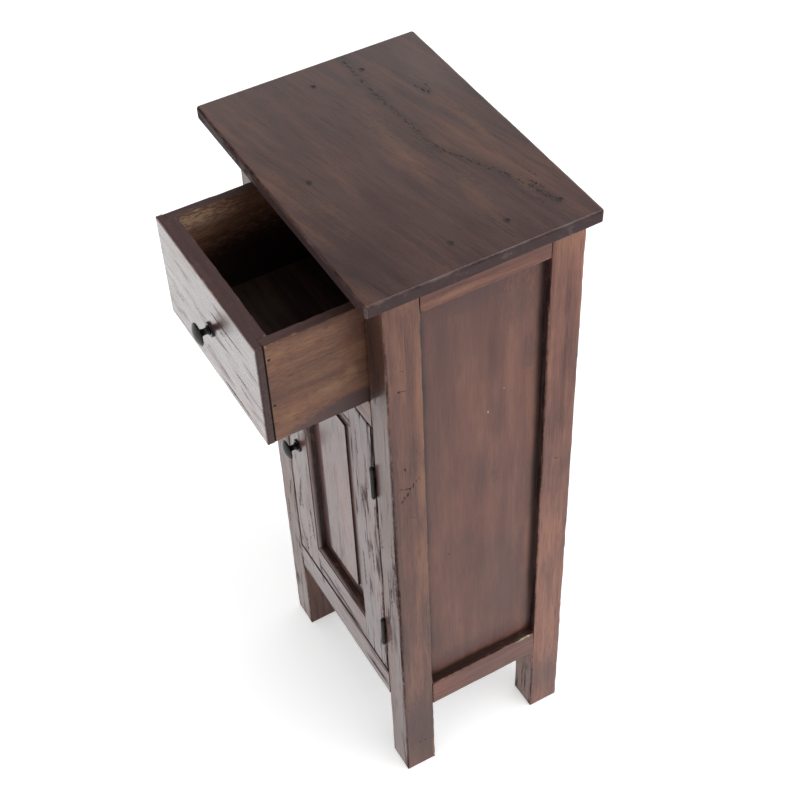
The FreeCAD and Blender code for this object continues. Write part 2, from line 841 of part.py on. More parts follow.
def make_drawer_nails():
    """Nails through the drawer sides into its front and back, and up through its bottom."""
    places = []
    front_nail_y = drawer_face_y + (drawer_lip_thickness + drawer_front_thickness) / 2
    back_nail_y = drawer_end_y - drawer_back_thickness / 2
    for side_name, side in SIDES.items():
        for nail_y, host in ((front_nail_y, "drawer_front"), (back_nail_y, "drawer_back")):
            for share in drawer_nail_drop_shares:
                nail_z = drawer_front_high - share * drawer_front_height
                point = Vector(side * drawer_box_half, nail_y, nail_z)
                names = [f"drawer_{side_name}_side", host]
                places.append((point, X_AXIS * -side, drawer_nail_length, names))
        point = Vector(side * bottom_nail_share * drawer_inner_half, back_nail_y, drawer_bottom_low)
        places.append((point, Z_AXIS, bottom_nail_length, ["drawer_bottom", "drawer_back"]))
    fasten("drawer_nails", make_nail, places)


def make_top_nails():
    """Nails driven down through the top into the rails and a post, sunk and filled over."""
    case_depth = back_y - front_y
    rail_middle = case_half - rail_thickness / 2
    spots = []
    for side_name, shares in (("left", top_nail_left_shares), ("right", top_nail_right_shares)):
        for share in shares:
            names = [f"{side_name}_top_rail", f"rear_{side_name}_post"]
            spots.append((SIDES[side_name] * rail_middle, front_y + share * case_depth, names))
    spots.append((top_nail_front_share * opening_half, front_y + rail_thickness / 2, ["front_top_rail"]))
    places = []
    plugs = []
    for x, y, names in spots:
        surface = Vector(x, y, table_height)
        head = surface - Z_AXIS * top_plug_depth
        cut_from(["top_board"], rod(head, Z_AXIS, top_plug_radius + fastener_play, top_plug_depth))
        plugs.append(rod(head, Z_AXIS, top_plug_radius, top_plug_depth))
        places.append((head, Z_AXIS * -1, top_nail_length, ["top_board"] + names))
    fasten("top_nails", make_nail, places)
    pieces["top_plugs"] = Part.makeCompound(plugs)


make_top()
make_posts()
make_cross_rails()
make_side_rails()
make_side_panels()
make_back_panel()
make_floor()
make_drawer_supports()
make_stops()
make_door_frame()
make_door_panel()
make_drawer()
make_hinges()
make_knob("door", door_knob_face, door_thickness, "door_latch_stile")
make_knob("drawer", drawer_knob_face, drawer_front_thickness, "drawer_front")
make_hinge_screws()
make_case_screws()
make_catch()
make_drawer_nails()
make_top_nails()

os.makedirs("parts", exist_ok=True)
for name, shape in sorted(pieces.items()):
    shape.exportStep(f"parts/{name}.step")
    volume = shape.Volume / cubic_mm_per_cubic_cm
    print(f"{name}: {len(shape.Solids)} solids, {volume:.1f} cm3, valid {shape.isValid()}")
print(len(pieces), "nodes")
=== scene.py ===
# %% [markdown]
# # A telephone table in dark stained wood
#
# The table is a tall narrow case on four posts, with a thin overhanging top, a drawer that stands
# part way out, and a framed cupboard door. Its pieces were drawn to size beforehand, and they are
# loaded here as a fixed frame. This lesson gives each of them its look: worn arrises, a stain that
# lets the grain through, a lacquer that mirrors the floor, and black iron hinges and knobs.
#
# The boards are copies of the drawn pieces, sliced into short strips so that their arrises can be
# rubbed down. The finishes are worked out by shader nodes, so nothing is painted by hand.

# %% Load the drawn pieces
import json
import math

import bmesh
import bpy
from mathutils import Matrix, Vector, noise


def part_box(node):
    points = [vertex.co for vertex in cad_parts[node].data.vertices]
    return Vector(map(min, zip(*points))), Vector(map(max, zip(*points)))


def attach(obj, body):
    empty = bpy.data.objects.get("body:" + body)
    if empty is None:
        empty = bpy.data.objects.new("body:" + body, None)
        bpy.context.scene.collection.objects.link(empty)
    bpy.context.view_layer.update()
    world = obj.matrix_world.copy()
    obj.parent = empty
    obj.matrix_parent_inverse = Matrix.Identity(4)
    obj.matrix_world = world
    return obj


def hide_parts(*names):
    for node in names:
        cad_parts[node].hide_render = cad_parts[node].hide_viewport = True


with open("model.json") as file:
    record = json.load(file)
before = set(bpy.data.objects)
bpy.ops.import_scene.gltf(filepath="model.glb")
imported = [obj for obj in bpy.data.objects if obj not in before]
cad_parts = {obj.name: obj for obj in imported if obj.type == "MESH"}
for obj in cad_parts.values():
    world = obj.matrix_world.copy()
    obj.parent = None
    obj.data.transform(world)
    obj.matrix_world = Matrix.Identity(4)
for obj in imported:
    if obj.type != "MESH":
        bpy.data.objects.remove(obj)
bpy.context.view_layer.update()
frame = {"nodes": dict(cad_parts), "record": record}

record = frame["record"]
body_of = {node: body for body, nodes in record["behaviour"]["bodies"].items() for node in nodes}


def placed(name, data):
    """A new object in the scene."""
    thing = bpy.data.objects.new(name, data)
    bpy.context.scene.collection.objects.link(thing)
    return thing


# %% [markdown]
# ## The camera
#
# The viewpoint was worked out from the straight edges of the photograph: the top's corners, the
# posts and the rails. That gives the camera's place, three directions and a focal length in
# pixels. Blender's camera looks along its own -Z with +Y up, so its rotation is made of the
# directions to the right, up and backwards, side by side.

# %% Place the camera
picture_pixels = 800
focal_pixels = 1547.8
sensor_mm = 36.0
camera_place = Vector((1.12348857, -0.59517518, 1.84466817))
to_the_right = Vector((0.49673811, 0.86722614, -0.03420625))
downwards = Vector((0.61468234, -0.37936093, -0.69155687))
forwards = Vector((-0.61271271, 0.32249667, -0.72151163))

camera_data = bpy.data.cameras.new("photo_camera")
camera_data.sensor_width = sensor_mm
camera_data.lens = focal_pixels * sensor_mm / picture_pixels
camera = placed("photo_camera", camera_data)
turn = Matrix((to_the_right, -downwards, -forwards)).transposed()
camera.matrix_world = Matrix.Translation(camera_place) @ turn.to_4x4()
bpy.context.scene.camera = camera
print("lens", round(camera_data.lens, 2), "mm")

# %% [markdown]
# ## A workbench for nodes
#
# A finish is a graph of nodes, and the maths in it is easier to read as plain Python. `Reading` is
# a number that changes over a surface: it holds one socket, and each `+`, `-`, `*` or `/` on it adds
# a Math node. `Bench` adds every other node: it takes the node's type, its settings, which are set
# first because they change what sockets the node has, and what goes into its sockets.

# %% Sums that become Math nodes
noise_middle = 0.5


def summing(operation, swapped=False):
    """A method that adds one kind of Math node."""
    def method(self, other):
        terms = (other, self) if swapped else (self, other)
        return self.bench.add("Math", {"operation": operation}, dict(enumerate(terms)))
    return method


class Reading:
    """A socket of the finish. Sums on it add Math nodes."""

    __add__ = __radd__ = summing("ADD")
    __sub__ = summing("SUBTRACT")
    __rsub__ = summing("SUBTRACT", swapped=True)
    __mul__ = __rmul__ = summing("MULTIPLY")
    __truediv__ = summing("DIVIDE")
    least = summing("MINIMUM")
    most = summing("MAXIMUM")

    def __init__(self, bench, socket):
        self.bench = bench
        self.socket = socket

    def __neg__(self):
        return self * -1.0

    def rise(self, start, end):
        """0 up to start, 1 from end on, and a smooth rise between. start may be the larger."""
        low, high, first, last = (start, end, 0.0, 1.0) if start < end else (end, start, 1.0, 0.0)
        places = {0: self, 1: low, 2: high, 3: first, 4: last}
        return self.bench.add("MapRange", {"interpolation_type": "SMOOTHSTEP"}, places)

    def fade(self, share):
        """1 where this is 1, and less by a share where this is 0."""
        return self * share + (1.0 - share)

    def swing(self, share=1.0):
        """A noise, whose middle is 0.5, as a number that goes up and down from 0."""
        return (self - noise_middle) * share


# %% A bench that adds any other node
class Bench:
    """One node tree, of a finish or of a Geometry Nodes group."""

    def __init__(self, tree):
        self.tree = tree

    def add(self, kind, settings=None, sockets=None, out=0):
        """Adds a shader node, or the kind of node named in full. Gives a Reading of one output."""
        node = self.tree.nodes.new(kind if "Node" in kind else "ShaderNode" + kind)
        for name, value in (settings or {}).items():
            if name == "stops":
                self.set_stops(node.color_ramp, value)
            else:
                setattr(node, name, value)
        for place, value in (sockets or {}).items():
            if isinstance(value, Reading):
                self.tree.links.new(value.socket, node.inputs[place])
            else:
                node.inputs[place].default_value = value
        return Reading(self, node.outputs[out]) if len(node.outputs) else None

    def set_stops(self, ramp, stops):
        while len(ramp.elements) < len(stops):
            ramp.elements.new(0.5)
        for element, (position, colour) in zip(ramp.elements, stops):
            element.position = position
            element.color = (*colour, 1.0)

    def where(self, out="Object"):
        """The place of a point on the surface, or another of its coordinates."""
        return self.add("TexCoord", out=out)

    def vector(self, operation, *terms, out=0, **named):
        """A sum on places instead of numbers."""
        sockets = dict(enumerate(terms)) | named
        return self.add("VectorMath", {"operation": operation}, sockets, out)

    def split(self, vector, axis):
        return self.add("SeparateXYZ", sockets={0: vector}, out=axis)

    def triple(self, *numbers):
        return self.add("CombineXYZ", sockets=dict(enumerate(numbers)))

    def noise(self, place, along, across, detail=2.0, roughness=0.5, distortion=0.0):
        """Noise, with so many steps in a metre along the grain and across it."""
        sockets = {"Vector": self.vector("MULTIPLY", place, (along, across, across)), "Scale": 1.0}
        sockets |= {"Detail": detail, "Roughness": roughness, "Distortion": distortion}
        return self.add("TexNoise", {"noise_dimensions": "3D"}, sockets)


# %% The end of a finish
class FinishBench(Bench):
    """The bench of a material, which also mixes colours and covers the surface."""

    def mix(self, share, first, second):
        """A colour between two colours."""
        settings = {"data_type": "RGBA", "clamp_factor": True}
        colours = [c if isinstance(c, Reading) else (*c, 1.0) for c in (first, second)]
        return self.add("Mix", settings, {0: share, 6: colours[0], 7: colours[1]}, out=2)

    def bump(self, height, strength, distance):
        sockets = {"Height": height, "Strength": strength, "Distance": distance}
        return self.add("Bump", sockets=sockets)

    def shader(self, sockets):
        return self.add("BsdfPrincipled", sockets=sockets)

    def cover(self, shader):
        self.add("OutputMaterial", sockets={"Surface": shader})


def new_finish(name):
    """A material with an empty tree, and the bench that fills it."""
    material = bpy.data.materials.new(name)
    material.use_nodes = True
    material.node_tree.nodes.clear()
    return material, FinishBench(material.node_tree)


print("the bench is ready")

# %% [markdown]
# ## The floor and the light
#
# The table stands on a white studio floor. The floor's colour is a pale grey that takes shadows,
# and it glows a little, but only where the camera or a mirror-like surface looks at it. So the
# background is white and the lacquer reflects white, while no extra light falls on the wood.

# %% Lay the floor
floor_reach = 14.0
floor_grey = (0.82, 0.82, 0.82, 1.0)
white = (1.0, 1.0, 1.0, 1.0)
near_glow, far_glow = 0.43, 0.65
glow_rises_from, glow_rises_to = 0.8, 3.0

floor_mesh = bpy.data.meshes.new("studio_floor")
floor_shape = bmesh.new()
bmesh.ops.create_grid(floor_shape, x_segments=2, y_segments=2, size=floor_reach)
floor_shape.to_mesh(floor_mesh)
floor_shape.free()
studio_floor = placed("studio_floor", floor_mesh)

floor_finish, bench = new_finish("studio_floor")
seen = [bench.add("LightPath", out=f"Is {by} Ray") for by in ("Camera", "Glossy", "Transmission")]
distance = bench.vector("LENGTH", bench.where(), out="Value")
glow = near_glow + distance.rise(glow_rises_from, glow_rises_to) * (far_glow - near_glow)
glow = seen[0].most(seen[1]).most(seen[2]) * glow
paper = bench.add("BsdfDiffuse", sockets={"Color": floor_grey})
lit = bench.add("Emission", sockets={"Color": white, "Strength": glow})
bench.cover(bench.add("AddShader", sockets={0: paper, 1: lit}))
floor_mesh.materials.append(floor_finish)
print("a floor of", 2 * floor_reach, "m")

# %% [markdown]
# The light is a dim room with a bright horizon, as in a white studio, and three large soft lamps:
# one from the right and a little behind, which lights the side and throws the shadow forwards to
# the left, one weaker from the front, and one overhead. Large lamps give soft shadows. For a
# mirror the room is bright low down and dark overhead.

# %% Light the room
room_light, room_low_light = 0.58, 0.10
mirror_dark, mirror_band, mirror_low = 0.08, 0.72, 0.10
low_sky_rise, mid_sky_rise = (0.34, 0.02), (0.72, 0.48)

world = bpy.data.worlds.new("studio")
world.use_nodes = True
world.node_tree.nodes.clear()
bench = Bench(world.node_tree)
seen = bench.add("LightPath", out="Is Camera Ray")
mirrored = bench.add("LightPath", out="Is Glossy Ray")
height = bench.split(bench.where("Generated"), "Z")
low_sky = height.rise(*low_sky_rise)
mid_sky = height.rise(*mid_sky_rise)
room = room_light + low_sky * room_low_light
mirror_room = mirror_dark + mid_sky * mirror_band + low_sky * mirror_low
strength = seen.most(mirrored * mirror_room + (1.0 - mirrored) * room)
sky = bench.add("Background", sockets={"Color": white, "Strength": strength})
bench.add("OutputWorld", sockets={"Surface": sky})
bpy.context.scene.world = world

lamps = {
    "right_lamp": ((1.7, 0.9, 2.5), 2.4, 38.0),
    "front_lamp": ((0.5, -2.6, 1.9), 1.6, 4.0),
    "top_lamp": ((0.1, 0.3, 2.9), 2.4, 26.0),
}
table_middle = Vector((0.0, 0.0, 0.45))
for name, (place, size, power) in lamps.items():
    lamp_data = bpy.data.lights.new(name, "AREA")
    lamp_data.shape = "SQUARE"
    lamp_data.size = size
    lamp_data.energy = power
    lamp = placed(name, lamp_data)
    lamp.location = place
    lamp.rotation_euler = (table_middle - Vector(place)).to_track_quat("-Z", "Y").to_euler()
bpy.context.scene.view_settings.view_transform = "Standard"
print(len(lamps), "lamps")

# %% [markdown]
# ## Boards with worn arrises
#
# A machined board has dead straight arrises, and an old one doesn't: they are rubbed, dented and
# chipped. Each board here starts as a copy of its drawn piece, so mortises, grooves and mouldings
# are all there. The copy is sliced across every few millimetres and close to each arris, which
# gives it enough points, and the points near its outer arrises are then pushed inwards by a
# noise pattern. Nothing is pushed outwards, so the board stays inside its drawn size.

# %% Copy and slice a drawn piece
same_place = 0.00001
on_plane = 0.000001


def joined_copy(node):
    """A bmesh of a drawn piece with its loose triangles joined up again."""
    shape = bmesh.new()
    shape.from_mesh(frame["nodes"][node].data)
    bmesh.ops.remove_doubles(shape, verts=shape.verts, dist=same_place)
    return shape


def slice_at(shape, axis, places):
    """Cuts a shape into strips by planes across one axis."""
    normal = Vector([1.0 if i == axis else 0.0 for i in range(3)])
    for place in places:
        parts = list(shape.verts) + list(shape.edges) + list(shape.faces)
        bmesh.ops.bisect_plane(
            shape, geom=parts, dist=on_plane, plane_co=normal * place, plane_no=normal
        )


def finished_piece(name, shape, node, smooth_degrees):
    """Turns a bmesh into a piece that rides where its drawn piece does and stands in for it."""
    mesh = bpy.data.meshes.new(name)
    shape.normal_update()
    shape.to_mesh(mesh)
    shape.free()
    if smooth_degrees is not None:
        mesh.shade_smooth()
        mesh.set_sharp_from_angle(angle=math.radians(smooth_degrees))
    piece = placed(name, mesh)
    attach(piece, body_of[node])
    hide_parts(node)
    return piece


# %% Rub down the arrises
AXES = {"x": 0, "y": 1, "z": 2}
strip_length = 0.009
arris_reach = 0.0032
arris_steps = (0.0006, 0.0016, arris_reach)
worn_reach, skin_reach = arris_reach * 0.98, arris_reach * 0.5
level = 0.9999
rub_steps, rub_least, rub_lift = 55.0, 0.35, 0.25
nick_steps, nick_from, nick_depth = 210.0, 0.28, 2.4


def rubbing(place, closeness, seed):
    """How far a point near an arris is worn away: a soft rub with a sharper nick here and there."""
    rub = noise.noise(place * rub_steps + Vector((seed, seed, -seed))) + rub_lift
    nick = noise.noise(place * nick_steps + Vector((seed, 3.0, 1.0))) - nick_from
    return closeness * closeness * (rub_least + max(0.0, rub) + max(0.0, nick) * nick_depth)


def worn_board(node, grain, wear, seed):
    """A board with its outer arrises rubbed down."""
    low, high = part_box(node)
    shape = joined_copy(node)
    for axis in range(3):
        size = high[axis] - low[axis]
        near = [low[axis] + s for s in arris_steps] + [high[axis] - s for s in arris_steps]
        count = int(size / strip_length) if axis == AXES[grain] else 0
        strips = [low[axis] + size * (i + 1) / (count + 1) for i in range(count)]
        slice_at(shape, axis, near + strips)
    shape.normal_update()
    for face in shape.faces:
        face.smooth = face.smooth and max(abs(part) for part in face.normal) < level
    for vertex in shape.verts:
        place = vertex.co.copy()
        gaps = [min(place[a] - low[a], high[a] - place[a]) for a in range(3)]
        first, second = sorted(range(3), key=lambda a: gaps[a])[:2]
        if gaps[second] > worn_reach or gaps[first] > skin_reach:
            continue
        push = wear * rubbing(place, 1.0 - gaps[second] / arris_reach, seed)
        for axis in (first, second):
            inwards = 1.0 if place[axis] - low[axis] < high[axis] - place[axis] else -1.0
            vertex.co[axis] += inwards * push
        for face in vertex.link_faces:
            face.smooth = True
    return finished_piece("worn_" + node, shape, node, None)


# %% [markdown]
# ## A finish for stained wood
#
# Wood under stain is a sum of patterns: broad bands a hand wide, streaks a few millimetres wide,
# fibres that can hardly be seen, and cloudy patches where the stain went on thicker. Each is
# noise, stretched along the grain. Added up they give a tone, and a ramp turns the tone into
# colour. Open cracks and pores follow the grain too. They are dark, they dip in the bump, and
# they break the shine, which is what draws the dark dashes on a face that mirrors the floor.
#
# The distance to a board's nearest arris is the middle one of its three distances to the sides of
# its box. That gives a worn edge whatever way the board lies.

# %% Where a point lies on its board
looks_from, looks_to = 0.80, 0.95
line_softness = 0.002


def on_board(bench, place, low, high):
    """The distance in metres from a point on a board's skin to its nearest arris."""
    gaps = []
    for axis in range(3):
        along = bench.split(place, axis)
        gaps.append((along - low[axis]).least(high[axis] - along))
    least, most = gaps[0].least(gaps[1]), gaps[0].most(gaps[1])
    return least.most(most.least(gaps[2]))


def patch_share(bench, place, ragged, mark):
    """How strongly a patch covers a point: 1 in its middle, 0 outside."""
    away = bench.vector("DIVIDE", bench.vector("SUBTRACT", place, mark["at"]), mark["size"])
    far = bench.vector("LENGTH", away, out="Value") + ragged.swing(mark["ragged"])
    return far.rise(1.0, mark["core"]) * mark["share"]


def crack_share(bench, place, mark):
    """How strongly a split between two points covers a point."""
    run = mark["end"] - mark["start"]
    away = bench.vector("SUBTRACT", place, mark["start"])
    along = bench.vector("DOT_PRODUCT", away, run, out="Value")
    along = (along / run.length_squared).most(0.0).least(1.0)
    foot = bench.vector("SCALE", run, Scale=along)
    off = bench.vector("DISTANCE", away, foot, out="Value")
    return off.rise(mark["width"], mark["width"] * mark["soft"]) * mark["share"]


def side_share(bench, place, side):
    """1 on the faces of a board that look one way, above a given height, and 0 elsewhere."""
    looks = bench.split(bench.where("Normal"), side["axis"]) * side["sign"]
    share = looks.rise(looks_from, looks_to) * side["share"]
    if "above" in side:
        height = bench.split(place, "Z")
        share = share * height.rise(side["above"] - line_softness, side["above"] + line_softness)
    return share


# %% [markdown]
# Every pattern is given by its steps in a metre along and across the grain, then by how much
# detail it has, how rough it is and how far it is pulled about. Each board reads them at a place
# of its own, so no two boards are cut from the same piece of wood. A name that ends in `rise`
# holds the two readings between which something sets in.

# %% The patterns in a board
TURNS = {"x": (0.0, 0.0, 0.0), "y": (0.0, 0.0, math.pi / 2), "z": (0.0, -math.pi / 2, 0.0)}
PATTERNS = {
    "broad": (1.8, 17.0, 3.0, 0.5, 0.6),
    "bands": (5.5, 52.0, 3.0, 0.5, 0.5),
    "streaks": (9.0, 230.0, 3.0, 0.6, 0.2),
    "fibres": (35.0, 800.0, 2.0, 0.6),
    "cloud": (12.0, 20.0, 4.0, 0.55),
    "patches": (3.0, 7.5, 3.0, 0.5),
    "nicks": (70.0, 110.0, 3.0, 0.6),
    "ragged": (150.0, 450.0, 3.0, 0.6),
    "splits": (7.0, 240.0, 3.0, 0.55, 0.5),
    "smears": (10.0, 85.0, 3.0, 0.6, 0.4),
}
wave_steps, wave_reach = 260.0, 0.009
seed_shift = (1.71, 0.37, 0.53)


class Patterns:
    """The patterns that one board shows, each under its own name."""

    def __init__(self, bench, place, recipe, middle, grain, seed):
        turn = Vector(TURNS[grain]) + Vector((0.0, 0.0, recipe["slant"]))
        sockets = {"Vector": place, "Location": middle, "Rotation": turn}
        local = bench.add("Mapping", {"vector_type": "TEXTURE"}, sockets)
        board = bench.vector("ADD", local, [seed * shift for shift in seed_shift])
        for name, (along, across, *others) in PATTERNS.items():
            steps = recipe.get(name + "_steps", (along, across))
            setattr(self, name, bench.noise(board, *steps, *others))

    def blend(self, **shares):
        """A sum of patterns, each times its share."""
        first, *others = [getattr(self, name) * share for name, share in shares.items()]
        return sum(others, first)

    def swing(self, **shares):
        """A sum of patterns that goes up and down from 0."""
        first, *others = [getattr(self, name).swing(share) for name, share in shares.items()]
        return sum(others, first)


def wavy(bench, place):
    """A place shifted a little, so that a straight split wanders."""
    sockets = {"Vector": place, "Scale": wave_steps, "Detail": 2.0}
    wave = bench.add("TexNoise", sockets=sockets, out="Color")
    wave = bench.vector("SUBTRACT", wave, [noise_middle] * 3)
    return bench.vector("ADD", place, bench.vector("SCALE", wave, Scale=wave_reach))


# %% Stain the grain and wear the arrises
ramp_places = (0.30, 0.44, 0.56, 0.72)
bands_share, flecks_share = 0.45, 0.5
fleck_rise, thin_rise, thick_rise, pore_rise = (0.48, 0.62), (0.48, 0.61), (0.50, 0.62), (0.44, 0.34)
rim_shade_ragged, rim_shade_share = 0.012, 0.8
arris_width, arris_core, arris_ragged = 0.0026, 0.0004, 0.003
grime_rise, bare_rise = (0.52, 0.44), (0.55, 0.62)


def stained(bench, wood, recipe):
    """The colour of the stained grain, and how open its pores are."""
    tone = noise_middle + wood.swing(
        broad=recipe["broad"], streaks=recipe["streaks"], bands=bands_share,
        cloud=recipe["clouds"], fibres=recipe["fibres"],
    )
    stops = list(zip(ramp_places, recipe["tones"]))
    colour = bench.add("ValToRGB", {"stops": stops}, {0: tone})
    flecks = wood.fibres.rise(*fleck_rise).fade(flecks_share)
    thin = wood.blend(bands=0.4, broad=0.3, streaks=0.3).rise(*thin_rise) * flecks
    colour = bench.mix(thin * recipe["golden_share"], colour, recipe["golden"])
    thick = (wood.patches + wood.swing(streaks=0.3)).rise(*thick_rise)
    colour = bench.mix(thick * recipe["stain_share"], colour, recipe["stain"])
    pores = wood.fibres.rise(*pore_rise) * recipe["pores"]
    return bench.mix(pores, colour, recipe["tones"][0]), pores


def handled(bench, wood, recipe, edge, colour):
    """The colour with painted shade along a panel's rim and with dirt and bare wood along the arrises, the
    bare wood on the top being partly a painted highlight, and where both of them are.
    """
    # Painted shade: on the side panels, the rim near the frame is darkened where the panel sits in it.
    if "rim" in recipe:
        rim = (edge + wood.swing(cloud=rim_shade_ragged)).rise(*recipe["rim"])
        colour = bench.mix(rim * rim_shade_share, colour, black_wax_and_shade)
    arris = (edge + wood.swing(cloud=arris_ragged)).rise(arris_width, arris_core)
    colour = bench.mix(arris * wood.nicks.rise(*grime_rise) * recipe["grime"], colour, black_wax_and_shade)
    bare = arris * wood.nicks.rise(*bare_rise) * recipe["worn"]
    return bench.mix(bare, colour, recipe["worn_tone"]), arris, bare


# %% Split and smear the fronts
split_reach, smear_reach = (0.012, 0.0015), (0.010, 0.001)
split_span, smear_rise = 0.03, (0.53, 0.70)
broken_rise, chipped_rise, chipped_share = (0.50, 0.58), (0.66, 0.58), 0.3


def aged(wood, recipe, edge, facing):
    """Splits along the grain and smears of old stain, most of them on the faces in front."""
    splits = wood.splits - wood.swing(patches=0.3)
    splits = splits + edge.rise(*split_reach) * recipe["edge_splits"]
    splits = splits.rise(recipe["dash_from"], recipe["dash_from"] + split_span)
    splits = splits * (facing * recipe["front_dashes"] + recipe["dashes"])
    smears = wood.smears - wood.swing(patches=0.2)
    smears = smears + edge.rise(*smear_reach) * recipe["edge_splits"]
    return splits, smears.rise(*smear_rise) * facing * recipe["smudge"]


def marked(bench, place, wood, marks, dark_sides, colour, dull, splits):
    """The colour, the dullness and the splits with the marks that only this board has."""
    wandering = wavy(bench, place)
    for mark in marks:
        if "start" in mark:
            share = crack_share(bench, wandering, mark)
            if mark["broken"]:
                share = share * wood.ragged.rise(*broken_rise)
            if mark["colour"] is None:
                splits = splits.most(share)
                continue
        else:
            share = patch_share(bench, place, wood.ragged, mark)
        colour = bench.mix(share, colour, mark["colour"])
        dull = dull + share * mark["dull"]
    for side in dark_sides:
        chipped = wood.nicks.rise(*chipped_rise).fade(chipped_share)
        share = side_share(bench, place, side) * chipped
        colour = bench.mix(share, colour, side["colour"])
        dull = dull + share * side["dull"]
    return bench.mix(splits, colour, black_wax_and_shade), dull, splits


# %% Put the wood finish together
facing_from, facing_to = 0.35, 0.80
slope_rise, slope_chipped = (0.66, 0.56), 0.4
pores_dull, smears_dull, bare_roughness = 0.2, 0.8, 0.1
dull_dip, grain_bump_distance = 0.4, 0.0012
polish_rise = (0.58, 0.42)
dry_roughness, dry_specular = 0.8, 0.08


def wood_finish(name, recipe, low, high, grain, seed, marks=(), dark_sides=()):
    """Stained and lacquered wood, its grain along one axis of the board."""
    material, bench = new_finish(name)
    place = bench.where()
    wood = Patterns(bench, place, recipe, (low + high) / 2, grain, seed)
    backwards = bench.split(bench.where("Normal"), "Y")
    facing = (-backwards).rise(facing_from, facing_to)
    edge = on_board(bench, place, low, high)
    colour, pores = stained(bench, wood, recipe)
    colour, arris, bare = handled(bench, wood, recipe, edge, colour)
    splits, smears = aged(wood, recipe, edge, facing)
    colour = bench.mix(smears, colour, smear_plum)
    dull = pores * pores_dull + arris * recipe["arris_dull"] + smears * smears_dull
    # Painted shade: on a front board, the faces that look neither forwards nor backwards, the walls of its
    # steps, grooves and gaps, are darkened, broken by nicks.
    if "slope_shade" in recipe:
        slope = (1.0 - facing - backwards.rise(facing_from, facing_to)) * recipe["slope_shade"]
        slope = slope * wood.nicks.rise(*slope_rise).fade(slope_chipped)
        colour = bench.mix(slope, colour, recipe["slope_shade_colour"])
    colour, dull, splits = marked(bench, place, wood, marks, dark_sides, colour, dull, splits)

    height = wood.blend(streaks=0.2, fibres=0.25, cloud=0.5) - splits - dull * dull_dip
    bump = bench.bump(height, recipe["bump"], grain_bump_distance)
    uneven = wood.swing(cloud=0.25, streaks=0.2) + bare * bare_roughness
    polish = wood.blend(bands=0.4, streaks=0.3, cloud=0.3).rise(*polish_rise).fade(recipe["streaky"])
    lacquered = bench.shader({
        "Base Color": colour, "Normal": bump,
        "Roughness": recipe["roughness"] + uneven,
        "Coat Weight": (facing * recipe["front_coat"] + recipe["coat"]) * polish,
        "Coat Roughness": recipe["coat_roughness"],
        "Coat IOR": recipe["coat_ior"],
        "Specular IOR Level": recipe["specular"],
    })
    dry = {"Base Color": colour, "Normal": bump}
    dry |= {"Roughness": dry_roughness, "Specular IOR Level": dry_specular}
    shaders = {0: (splits + dull).least(1.0), 1: lacquered, 2: bench.shader(dry)}
    bench.cover(bench.add("MixShader", sockets=shaders))
    return material


# %% [markdown]
# ## Recipes
#
# Every board was stained alike, but it doesn't look alike: the top is nearly black-brown with
# golden streaks, the posts are warmer, the sides redder, and the fronts carry the most lacquer. A
# recipe holds what differs: four tones from dark to light, how strong each pattern is, and how
# glossy the lacquer is. Colours are given in thousandths, and 1000 is the brightest.

# %% Write the recipes down
def colours(*numbers):
    """Colours of three numbers each, given in thousandths."""
    return tuple(tuple(n / 1000 for n in numbers[i:i + 3]) for i in range(0, len(numbers), 3))


# Plum stain and black wax are the wood's own stain and dirt, and they also paint shade: along the side
# panels' rims and top, on the rails' top faces and inside the drawer.
plum_stain_and_shade, smear_plum, black_wax_and_shade = colours(78, 36, 33, 40, 20, 18, 10, 6, 5)
golden_brown, golden_red, golden_pale = colours(270, 120, 66, 330, 160, 85, 360, 170, 90)
chip_brown, worn_and_highlight_brown = colours(300, 180, 120, 80, 55, 48)
base = {
    "tones": colours(62, 23, 18, 108, 45, 33, 145, 63, 46, 190, 88, 60), "slant": 0.0,
    "broad": 0.5, "streaks": 0.4, "clouds": 0.45, "fibres": 0.25, "pores": 0.4,
    "golden": golden_brown, "golden_share": 0.35, "stain": plum_stain_and_shade, "stain_share": 0.4,
    "dashes": 0.15, "front_dashes": 0.85, "dash_from": 0.63, "edge_splits": 0.05, "smudge": 1.0,
    "worn": 0.45, "worn_tone": chip_brown, "grime": 0.6, "arris_dull": 0.4, "bump": 0.5,
    "roughness": 0.38, "specular": 0.3, "coat": 0.02, "front_coat": 0.50, "streaky": 0.4,
    "coat_roughness": 0.16, "coat_ior": 1.5,
}


def brighter(recipe, *shares):
    """A recipe whose tones and golden areas are multiplied by three shares."""
    tones = [tuple(c * s for c, s in zip(tone, shares)) for tone in (*recipe["tones"], recipe["golden"])]
    return recipe | {"tones": tones[:-1], "golden": tones[-1]}


